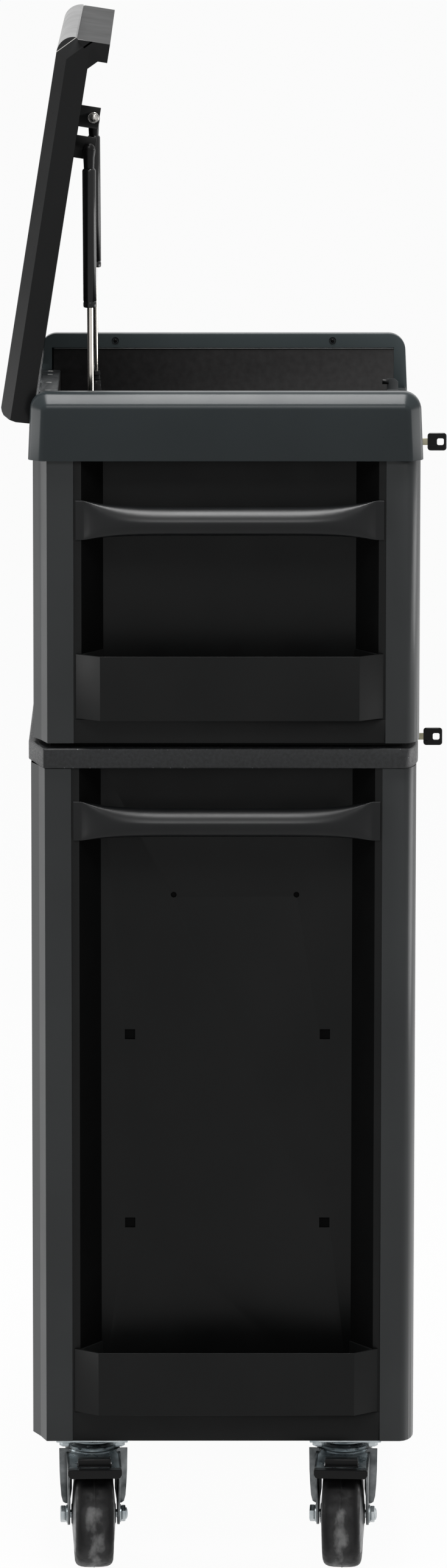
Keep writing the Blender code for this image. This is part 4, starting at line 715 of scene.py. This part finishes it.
def cheek_skin(low, high, side):
    """The outside of a cap as one sheet, without its bottom and with the inner window."""
    inner, outer = sorted((abs(low.x), abs(high.x)))
    middle = (low.y + high.y) / 2
    shape = block((inner, low.y, low.z), (outer, high.y, high.z))

    def inside():
        return [f for f in shape.faces if max(v.co.x for v in f.verts) < inner + TOUCH]

    for vert in shape.verts:
        if vert.co.z > low.z + CHEEK_CORNER:
            vert.co.y += CHEEK_DRAFT if vert.co.y < middle else -CHEEK_DRAFT
    corners = [e for e in shape.edges if abs(e.verts[0].co.x - e.verts[1].co.x) > CHEEK_CORNER
               and min(v.co.z for v in e.verts) > low.z + CHEEK_CORNER]
    bevelled(shape, corners, CHEEK_CORNER, 12, clamp=False)
    rim = [e for e in shape.edges if min(v.co.x for v in e.verts) > outer - TOUCH
           and max(v.co.z for v in e.verts) > low.z + TOUCH]
    bevelled(shape, rim, CHEEK_CHAMFER, 1, clamp=False)
    bottom = [f for f in shape.faces if max(v.co.z for v in f.verts) < low.z + TOUCH]
    bmesh.ops.delete(shape, geom=bottom, context="FACES")
    folds = [e for e in shape.edges if len(e.link_faces) == 2
             and e.calc_face_angle() > math.radians(30)
             and min(v.co.x for v in e.verts) > inner + 0.002]
    bevelled(shape, folds, CHEEK_SOFT, 6, clamp=False)
    leg = (high.y - low.y) / 2 - CHEEK_LEG - CHEEK_DRAFT
    for place, normal in (((0, 0, high.z - CHEEK_BAND), (0, 0, 1)),
                          ((0, middle - leg, 0), (0, 1, 0)), ((0, middle + leg, 0), (0, 1, 0))):
        cut(shape, place, normal, inside())
    window = [f for f in inside() if centre_of(f).z < high.z - CHEEK_BAND
              and abs(centre_of(f).y - middle) < leg]
    bmesh.ops.delete(shape, geom=window, context="FACES")
    bmesh.ops.recalc_face_normals(shape, faces=shape.faces)
    # the inner faces take the second, lighter slate: painted light
    for face in inside():
        face.material_index = 1
    if side < 0:
        bmesh.ops.scale(shape, vec=(-1, 1, 1), verts=shape.verts)
        bmesh.ops.reverse_faces(shape, faces=shape.faces)
    return shape


def walled(thing, thickness):
    """The skin's wall, which lies inside it."""
    wall = thing.modifiers.new("wall", "SOLIDIFY")
    wall.thickness = thickness
    wall.offset = -1


chest_middle = middle_of("chest_till_pan").y
screws = []
for word, side in (("left", -1), ("right", 1)):
    low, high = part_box(f"{word}_cheek")
    cap = piece_of(f"{word}_cheek_moulding", cheek_skin(low, high, side), (moulded, painted_light_band),
                   (f"{word}_cheek",), sharp=60)
    walled(cap, CHEEK_WALL)
    eased(cap, CHEEK_EDGE, 50)
    inner = min(abs(low.x), abs(high.x))
    turn = Matrix.Rotation(math.pi if side < 0 else 0, 4, "Z")
    for sign in (-1, 1):
        seat = spun(((0.0030, 0.0008), (0.0036, -0.0004), (0.0043, -0.0005), (0.0045, 0.0002),
                     (0.0045, 0.0012), (0.0030, 0.0012)), 40, closed=True)
        head = spun(((0, -0.0006), (0.0011, -0.0006), (0.0013, -0.0014), (0.0021, -0.0011),
                     (0.0028, 0.0001), (0.0030, 0.0012), (0, 0.0012)))
        place = at(0, chest_middle + sign * SCREW_AT, high.z - CHEEK_BAND / 2)
        screws += [moved(shape, TO_X, at(inner, 0, 0), turn, place) for shape in (seat, head)]
piece_of("cheek_screws", joined(screws), nylon, body="chest_body")

# ---------------------------------------------------------------- locks and catch
# Nickel-plated lock plugs in the two top rails, each with its key in it: a brass-tinted
# blade and a black moulded head with a rounded square eye. The catch is a bent bracket
# with a black buffer on its end.

steel = coating("nickel_plate", (0.42, 0.41, 0.39), (0.60, 0.59, 0.57), (0.22, 0.34),
                grain=300.0, relief=0.04, patches=60.0, metallic=1.0)
brass = coating("nickel_brass", (0.20, 0.19, 0.13), (0.34, 0.32, 0.24), (0.25, 0.38),
                grain=300.0, relief=0.04, patches=60.0, metallic=1.0)
KEY_REACH, KEY_LENGTH, KEY_HEIGHT, KEY_EYE = 0.041, 0.0232, 0.0215, 0.0078
KEY_HALF = 0.0017  # of its thickness
BUFFER = 0.0063


def square_loop(shape, x, centre_y, half_y, half_z, corner):
    """A rounded rectangle of edges in the plane at x."""
    points = []
    for quarter, (side, up) in enumerate(((1, 1), (-1, 1), (-1, -1), (1, -1))):
        middle_y, middle_z = side * (half_y - corner), up * (half_z - corner)
        for step in range(6):
            angle = math.pi / 2 * (quarter + step / 5)
            points.append(shape.verts.new((x, centre_y + middle_y + corner * math.cos(angle),
                                           middle_z + corner * math.sin(angle))))
    return [shape.edges.new((points[i - 1], points[i])) for i in range(len(points))]


def key_head():
    """A rounded slab in the blade's plane, with its eye near the outer end."""
    middle = -KEY_REACH + KEY_LENGTH / 2
    eye = -KEY_REACH + 0.0075
    shape = bmesh.new()
    loops = [square_loop(shape, x, middle, KEY_LENGTH / 2 - inset, KEY_HEIGHT / 2 - inset,
                         0.0036)
             for x, inset in ((-KEY_HALF, 0.0006), (-0.0011, 0), (0.0011, 0),
                              (KEY_HALF, 0.0006))]
    half_eye = KEY_EYE / 2 + 0.0003
    holes = [square_loop(shape, x, eye, half_eye, half_eye, 0.0022)
             for x in (-KEY_HALF, KEY_HALF)]
    for first, second in (*zip(loops, loops[1:]), (loops[0], holes[0]),
                          (loops[-1], holes[1]), holes):
        bmesh.ops.bridge_loops(shape, edges=first + second)
    bmesh.ops.recalc_face_normals(shape, faces=shape.faces)
    ridges = [rounded_block((x - 0.0004, -KEY_REACH + 0.0128, -0.0054),
                            (x + 0.0004, -KEY_REACH + 0.0212, -0.0047), 0.0002)
              for x in (-KEY_HALF, KEY_HALF)]
    return joined([shape, *ridges])


def joint_of(name):
    return next(joint for joint in frame["joints"] if joint["name"] == name)


for word in ("chest", "cabinet"):
    place = at(*joint_of(f"{word}_key_turn")["pos_m"])
    plug = spun(((0, -0.0066), (0.0060, -0.0066), (0.0066, -0.0074), (0.0076, -0.0074),
                 (0.0079, -0.0068), (0.0079, 0.0118), (0, 0.0118)), 48)
    cam = rounded_block((-0.0030, 0.0112, -0.0080), (0.0030, 0.0126, 0.0119), 0.0003)
    body = body_of(f"{word}_lock_key")
    piece_of(f"{word}_lock_plug", moved(joined([moved(plug, TO_Y), cam]), place), steel,
             (f"{word}_lock_key",))
    blade = rounded_block((-0.0010, -0.0190, -0.0041), (0.0010, -0.0050, 0.0041), 0.0004)
    piece_of(f"{word}_key_blade", moved(blade, place), brass, body=body)
    piece_of(f"{word}_key_head", moved(key_head(), place), nylon, body=body)


catch_low, catch_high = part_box("lid_catch")
knob = catch_high.y - BUFFER
finished("lid_catch", (slate, nylon), SHEET_EDGE,
         takes=lambda face: centre_of(face).y > knob)

# ---------------------------------------------------------------- lid
# A shallow pan of one black painted sheet with a full rounding along the front. A darker
# textured band closes the front, and the corners are mitred and folded; a bright steel
# bead along each mitre is a painted highlight of its edge.

lid_paint = coating("black_lid_coat", (0.0075, 0.0078, 0.0080), (0.0095, 0.0098, 0.0100),
                    (0.25, 0.30), patches=6.0, specular=0.13)
lid_gloss = coating("black_lid_gloss", (0.0085, 0.0088, 0.0090), (0.0115, 0.0118, 0.0120),
                    (0.20, 0.26), relief=0.03, patches=6.0, specular=0.40)
lid_band = coating("textured_black_band", (0.0085, 0.0088, 0.0090), (0.0115, 0.0118, 0.0120),
                   (0.52, 0.60), relief=0.12, patches=6.0, specular=0.17)
LID_LENGTH, LID_THICKNESS, LID_WALL = 0.4623, 0.0387, 0.0015
LID_ROUNDING, LID_CHAMFER, BAND_STEP = 0.0210, 0.0130, 0.0015
LIP_LOW, LIP_WIDTH, LIP_SLOPE, FLANGE = -0.0222, 0.0235, 0.0110, 0.028
NOTCH_GAP, LID_EDGE = 0.0035, 0.0005
LID_ANGLE = math.radians(-81)


def lid_skin(half, notch):
    """The outside of the pan in its closed place, front to -Y, without its open underside."""
    front, top, turn = LID_LENGTH, LID_THICKNESS, LID_ROUNDING
    outline = [(front - BAND_STEP, LIP_LOW), (front - BAND_STEP, top - turn - 0.0004)]
    for step in range(17):
        angle = math.pi / 2 * step / 16
        outline.append((front - turn + turn * math.cos(angle),
                        top - turn + turn * math.sin(angle)))
    outline += [(0.0170, top), (0.0128, 0.0372), (0.0090, 0.0345), (0.0055, 0.0270),
                (0.0040, 0.0190), (0.0050, 0.0003), (front - LIP_WIDTH - LIP_SLOPE, 0.0003),
                (front - LIP_WIDTH, -LIP_SLOPE), (front - LIP_WIDTH, LIP_LOW)]
    shape = drawn([(-forward, up) for forward, up in outline], "X", -half, half)
    for sign in (-1, 1):
        x = sign * (half - LID_CHAMFER)
        for place, normal in (((x, 0, top), (sign, 0, 1)),
                              ((x, -front, top - turn), (sign, -0.7071, 0.7071))):
            cut(shape, place, normal, clear=True)
            rim = [edge for edge in shape.edges if edge.is_boundary]
            bmesh.ops.contextual_create(shape, geom=rim)
    bmesh.ops.recalc_face_normals(shape, faces=shape.faces)
    shape.normal_update()
    under = [f for f in shape.faces if f.normal.z < -0.3 and centre_of(f).z > -0.02]
    cut(shape, (0, -FLANGE, 0), (0, 1, 0), under)
    under = [f for f in shape.faces if f.normal.z < -0.3 and -FLANGE > centre_of(f).y
             and centre_of(f).z > -0.02]
    bmesh.ops.delete(shape, geom=under, context="FACES")
    low_x, high_x, low_y, high_y = notch
    for place, normal in (((low_x, 0, 0), (1, 0, 0)), ((high_x, 0, 0), (1, 0, 0)),
                          ((0, low_y, 0), (0, 1, 0))):
        lip = [f for f in shape.faces if centre_of(f).z < -0.0005
               and abs(f.normal.x) < 0.1 and f.normal.y > -0.5]
        cut(shape, place, normal, lip)
    gone = [f for f in shape.faces if centre_of(f).z < -0.0005
            and low_x < centre_of(f).x < high_x
            and low_y < centre_of(f).y < high_y and abs(f.normal.x) < 0.1]
    bmesh.ops.delete(shape, geom=gone, context="FACES")
    for face in shape.faces:
        middle, normal = centre_of(face), face.normal
        if normal.y < -0.9 and middle.z < top - turn:
            face.material_index = 2
        elif abs(normal.x) < 0.1 and middle.z > top - turn:
            face.material_index = 1
    return shape


opened = at(*joint_of("lid_hinge")["pos_m"]) @ Matrix.Rotation(LID_ANGLE, 4, "X")
lid_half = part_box("lid_shell")[1].x
notch = (catch_low.x - NOTCH_GAP, catch_high.x + NOTCH_GAP, -LID_LENGTH + 0.0040,
         -LID_LENGTH + LIP_WIDTH + 0.0010)
pan = piece_of("lid_pan", moved(lid_skin(lid_half, notch), opened),
               (lid_paint, lid_gloss, lid_band), ("lid_shell",), sharp=24)
walled(pan, LID_WALL)
eased(pan, LID_EDGE, 30)


def turned_to(direction):
    """The turn that lays Z along the direction."""
    return Vector((0, 0, 1)).rotation_difference(direction).to_matrix().to_4x4()


# The band's ends stand square beside the folded corners, and a thin bright steel bead
# along each mitre is a painted highlight of the mitre's edge.

mitre_highlights, gussets = [], []
for sign in (-1, 1):
    inner_x = sign * (lid_half - LID_CHAMFER)
    low = Vector((inner_x, -LID_LENGTH, LID_THICKNESS - LID_ROUNDING))
    high = Vector((inner_x, -LID_LENGTH + LID_ROUNDING, LID_THICKNESS))
    highlight_bead = spun(((0, 0), (0.0005, 0.0006), (0.0005, (high - low).length - 0.0006),
                 (0, (high - low).length)), 12)
    mitre_highlights.append(moved(highlight_bead, at(*low) @ turned_to(high - low), opened))
    wedge = bmesh.new()
    leg = LID_CHAMFER * math.sqrt(0.5)
    corner = low + Vector((0, BAND_STEP, -BAND_STEP))
    outer = Vector((sign * lid_half - inner_x, 0, 0))
    for point in (corner, corner + outer, corner + outer + Vector((0, leg, -leg)),
                  corner + outer + Vector((0, 0, -2 * leg))):
        wedge.verts.new(point)
    bmesh.ops.convex_hull(wedge, input=wedge.verts)
    bmesh.ops.recalc_face_normals(wedge, faces=wedge.faces)
    gussets.append(moved(wedge, opened))
piece_of("lid_corner_gussets", joined(gussets), lid_paint, body="lid", sharp=20)
# a painted highlight along each mitre, in bright steel
piece_of("lid_mitre_painted_highlights", joined(mitre_highlights), steel, body="lid")

# A piano hinge of bare steel carries the lid, riveted to the rear shell's flange.

finished("body_hinge_leaf", dull_zinc, 0.0001)
finished("lid_hinge_leaf", dull_zinc, 0.0001)
low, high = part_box("body_hinge_leaf")
rivets = []
RIVET_GAPS = (0.015, 0.037, 0.088, 0.086, 0.087, 0.087, 0.087, 0.087)
RIVET_INWARDS, RIVET_BELOW = 0.0150, 0.0034
x = high.x
for gap in RIVET_GAPS:
    x -= gap
    head = spun(((0, -0.00030), (0.0034, -0.00030), (0.0034, 0.00003), (0.0031, 0.00008),
                 (0, 0.00008)))
    rivets.append(moved(head, at(x, high.y - RIVET_INWARDS, high.z - RIVET_BELOW)))
rivet_tin = coating("tinned_rivet", (0.42, 0.42, 0.41), (0.62, 0.62, 0.60), (0.35, 0.50),
                    patches=80.0)
piece_of("hinge_rivets", joined(rivets), rivet_tin, body="chest_body", sharp=60)

# ---------------------------------------------------------------- gas struts
# A polished rod that slides in a black cylinder, with moulded ball sockets at both ends,
# and a bent bracket inside the lid with a domed nut on its stud.

chrome = coating("polished_rod", (0.50, 0.47, 0.43), (0.62, 0.59, 0.55), (0.10, 0.16),
                 grain=300.0, relief=0.02, patches=40.0, metallic=1.0)
enamel = coating("black_enamel", (0.0060, 0.0062, 0.0065), (0.0085, 0.0087, 0.0090),
                 (0.16, 0.22), grain=500.0, relief=0.03, patches=12.0, specular=0.26)
SOCKET, HALF_SOCKET = 0.0072, 0.0056
CYLINDER, CYLINDER_LENGTH, FITTING = 0.0080, 0.165, 0.023
ROD, STRUT_LENGTH = 0.0036, 0.33987
ROD_IN_SOCKET, ROD_IN_CYLINDER, BORE = 0.004, 0.025, 0.130
BRACKET_FACE = 0.0089  # from the socket beside it


def socket_and_sleeve(sleeve, ribs):
    """A ball socket at the origin on X, in the flattened top of a sleeve that runs up Z."""
    quarter = [(SOCKET * math.cos(math.radians(turn)), HALF_SOCKET * math.sin(math.radians(turn)))
               for turn in range(0, 91, 15)]
    quarter[-1] = (0, HALF_SOCKET)
    ball = spun([(r, -x) for r, x in quarter[:0:-1]] + quarter, 40)
    profile = [(0, 0.0004), (0.0064, 0.0004), (0.0078, 0.0008), (0.0079, 0.0022),
               (0.0074, 0.0062), (0.0067, 0.0095)]
    for i in range(ribs):
        height = 0.0095 + i * (sleeve - 0.0105) / ribs
        profile += [(0.0061, height + 0.0006), (0.0061, height + 0.0014),
                    (0.0067, height + 0.0020)]
    profile += [(0.0061, sleeve - 0.0012), (0.0057, sleeve), (0, sleeve)]
    body = spun(profile, 48)
    bmesh.ops.scale(body, vec=(HALF_SOCKET / SOCKET, 1, 1), verts=body.verts)
    return joined([moved(ball, TO_X), body])


tops = []
for word in ("left", "right"):
    along = Vector(joint_of(f"{word}_strut_slide")["axis"])
    foot = Vector(joint_of(f"{word}_strut_swing")["pos_m"])
    place = at(*foot) @ turned_to(along)
    start = STRUT_LENGTH - FITTING - CYLINDER_LENGTH
    rod = round_bar(ROD, FITTING - ROD_IN_SOCKET, start + ROD_IN_CYLINDER, 48)
    piece_of(f"{word}_strut_polished_rod", moved(rod, place), chrome,
             (f"{word}_strut_rod",))
    piece_of(f"{word}_strut_lower_socket", moved(socket_and_sleeve(FITTING - 0.001, 2), place),
             nylon, body=body_of(f"{word}_strut_rod"))
    top = start + CYLINDER_LENGTH
    cylinder = spun(((0, start + BORE), (0.0042, start + BORE), (0.0042, start),
                     (0.0058, start), (0.0076, start + 0.0006), (CYLINDER, start + 0.0022),
                     (CYLINDER, start + 0.0060), (0.0076, start + 0.0066),
                     (0.0076, start + 0.0078), (CYLINDER, start + 0.0084),
                     (CYLINDER, top - 0.0026), (0.0074, top - 0.0010), (0.0060, top), (0, top)),
                    48)
    piece_of(f"{word}_strut_enamelled_cylinder", moved(cylinder, place), enamel,
             (f"{word}_strut_cylinder",))
    upper = moved(socket_and_sleeve(FITTING + 0.001, 0), Matrix.Rotation(math.pi, 4, "X"),
                  at(0, 0, STRUT_LENGTH))
    piece_of(f"{word}_strut_upper_socket", moved(upper, place), nylon,
             body=body_of(f"{word}_strut_cylinder"))
    tops.append(foot + along * STRUT_LENGTH)

for word, side, centre in (("left", -1, tops[0]), ("right", 1, tops[1])):
    finished(f"{word}_lid_bracket", black, TRAY_EDGE)
    washer = spun(((0, 0), (0.0071, 0), (0.0071, 0.0006), (0.0066, 0.0011), (0, 0.0011)), 40)
    nut = hex_head(0.0063, 0.0011, 0.0062)
    tip = spun(((0, 0.0062), (0.0044, 0.0062), (0.0040, 0.0076), (0.0026, 0.0086), (0, 0.0089)))
    turn = Matrix.Rotation(-side * math.pi / 2, 4, "Y")
    place = at(centre.x - side * (HALF_SOCKET + BRACKET_FACE), centre.y, centre.z)
    piece_of(f"{word}_strut_bracket_nut", moved(joined([washer, nut, tip]), turn, place), steel,
             body="lid")

# ---------------------------------------------------------------- studio
# A white floor that keeps a soft shadow, a white surround, and broad soft lamps in front,
# behind, overhead and at the left end. The camera stands beyond that end, above the lid.


def white_to_the_eye(nodes, links, lit, white, output, share=1.0):
    """Camera, glossy and transmission rays see white; all other rays see the lit surface."""
    path = nodes.new("ShaderNodeLightPath")
    seen = path.outputs["Is Camera Ray"]
    for kind in ("Is Glossy Ray", "Is Transmission Ray"):
        seen = combined(nodes, links, "MAXIMUM", seen, path.outputs[kind])
    mix = nodes.new("ShaderNodeMixShader")
    links.new(combined(nodes, links, "MULTIPLY", seen, share), mix.inputs["Fac"])
    links.new(lit.outputs[0], mix.inputs[1])
    links.new(white.outputs[0], mix.inputs[2])
    links.new(mix.outputs[0], nodes[output].inputs["Surface"])


world = bpy.data.worlds.new("surround")
bpy.context.scene.world = world
world.use_nodes = True
tree = world.node_tree
ambient = tree.nodes["Background"]
ambient.inputs["Color"].default_value = (0.06, 0.06, 0.06, 1)
ambient.inputs["Strength"].default_value = 1.0
white = tree.nodes.new("ShaderNodeBackground")
white.inputs["Color"].default_value = (1, 1, 1, 1)
white_to_the_eye(tree.nodes, tree.links, ambient, white, "World Output")

FLOOR_SIDE = 60.0
SHADOWLESS = 0.96  # of the floor's look; the rest shows the soft shadow
shape = bmesh.new()
bmesh.ops.create_grid(shape, x_segments=1, y_segments=1, size=FLOOR_SIDE / 2)
floor = in_scene("floor", mesh_of("floor", shape))
material, nodes, links, shader = new_material("pale_floor", 0.9, specular=0.1)
shader.inputs["Base Color"].default_value = (0.85, 0.85, 0.85, 1)
white_to_the_eye(nodes, links, shader, nodes.new("ShaderNodeEmission"), "Material Output",
                 SHADOWLESS)
floor.data.materials.append(material)

LAMPS = (  # name, place, aim, size, power
    ("front_softbox", (0.55, -3.40, 0.90), (-0.30, -0.20, 0.90), (2.6, 1.3), 58),
    ("rear_softbox", (0.00, 3.50, 0.90), (-0.30, 0.20, 0.90), (2.6, 1.3), 58),
    ("overhead_softbox", (-0.45, 0.00, 4.40), (-0.45, 0.00, 0.00), (1.2, 1.4), 137),
    ("end_fill", (-3.60, 0.00, 4.20), (-0.30, 0.00, 1.20), (2.0, 1.4), 66),
)
for name, place, aim, size, power in LAMPS:
    light = bpy.data.lights.new(name, "AREA")
    light.shape = "RECTANGLE"
    light.size, light.size_y = size
    light.energy = power
    lamp = in_scene(name, light)
    lamp.location = place
    lamp.visible_camera = False
    lamp.rotation_euler = (Vector(aim) - Vector(place)).to_track_quat("-Z", "Y").to_euler()

CAMERA_DISTANCE = 8.822  # from the left end
CAMERA_SIDE, CAMERA_HEIGHT = 0.0540, 2.4448
CAMERA_TILT, CAMERA_LENS = math.radians(9.54), 173.15
camera = bpy.data.cameras.new("camera")
camera.sensor_fit = "VERTICAL"
camera.sensor_height = 36
camera.lens = CAMERA_LENS
camera.shift_x = 67 / 2576
eye = in_scene("camera", camera)
left_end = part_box("cabinet_left_front_post")[0].x
eye.location = (left_end - CAMERA_DISTANCE, CAMERA_SIDE, CAMERA_HEIGHT)
eye.rotation_euler = (math.pi / 2 - CAMERA_TILT, 0, -math.pi / 2)
bpy.context.scene.camera = eye
bpy.context.scene.view_settings.view_transform = "Standard"

bpy.context.view_layer.update()
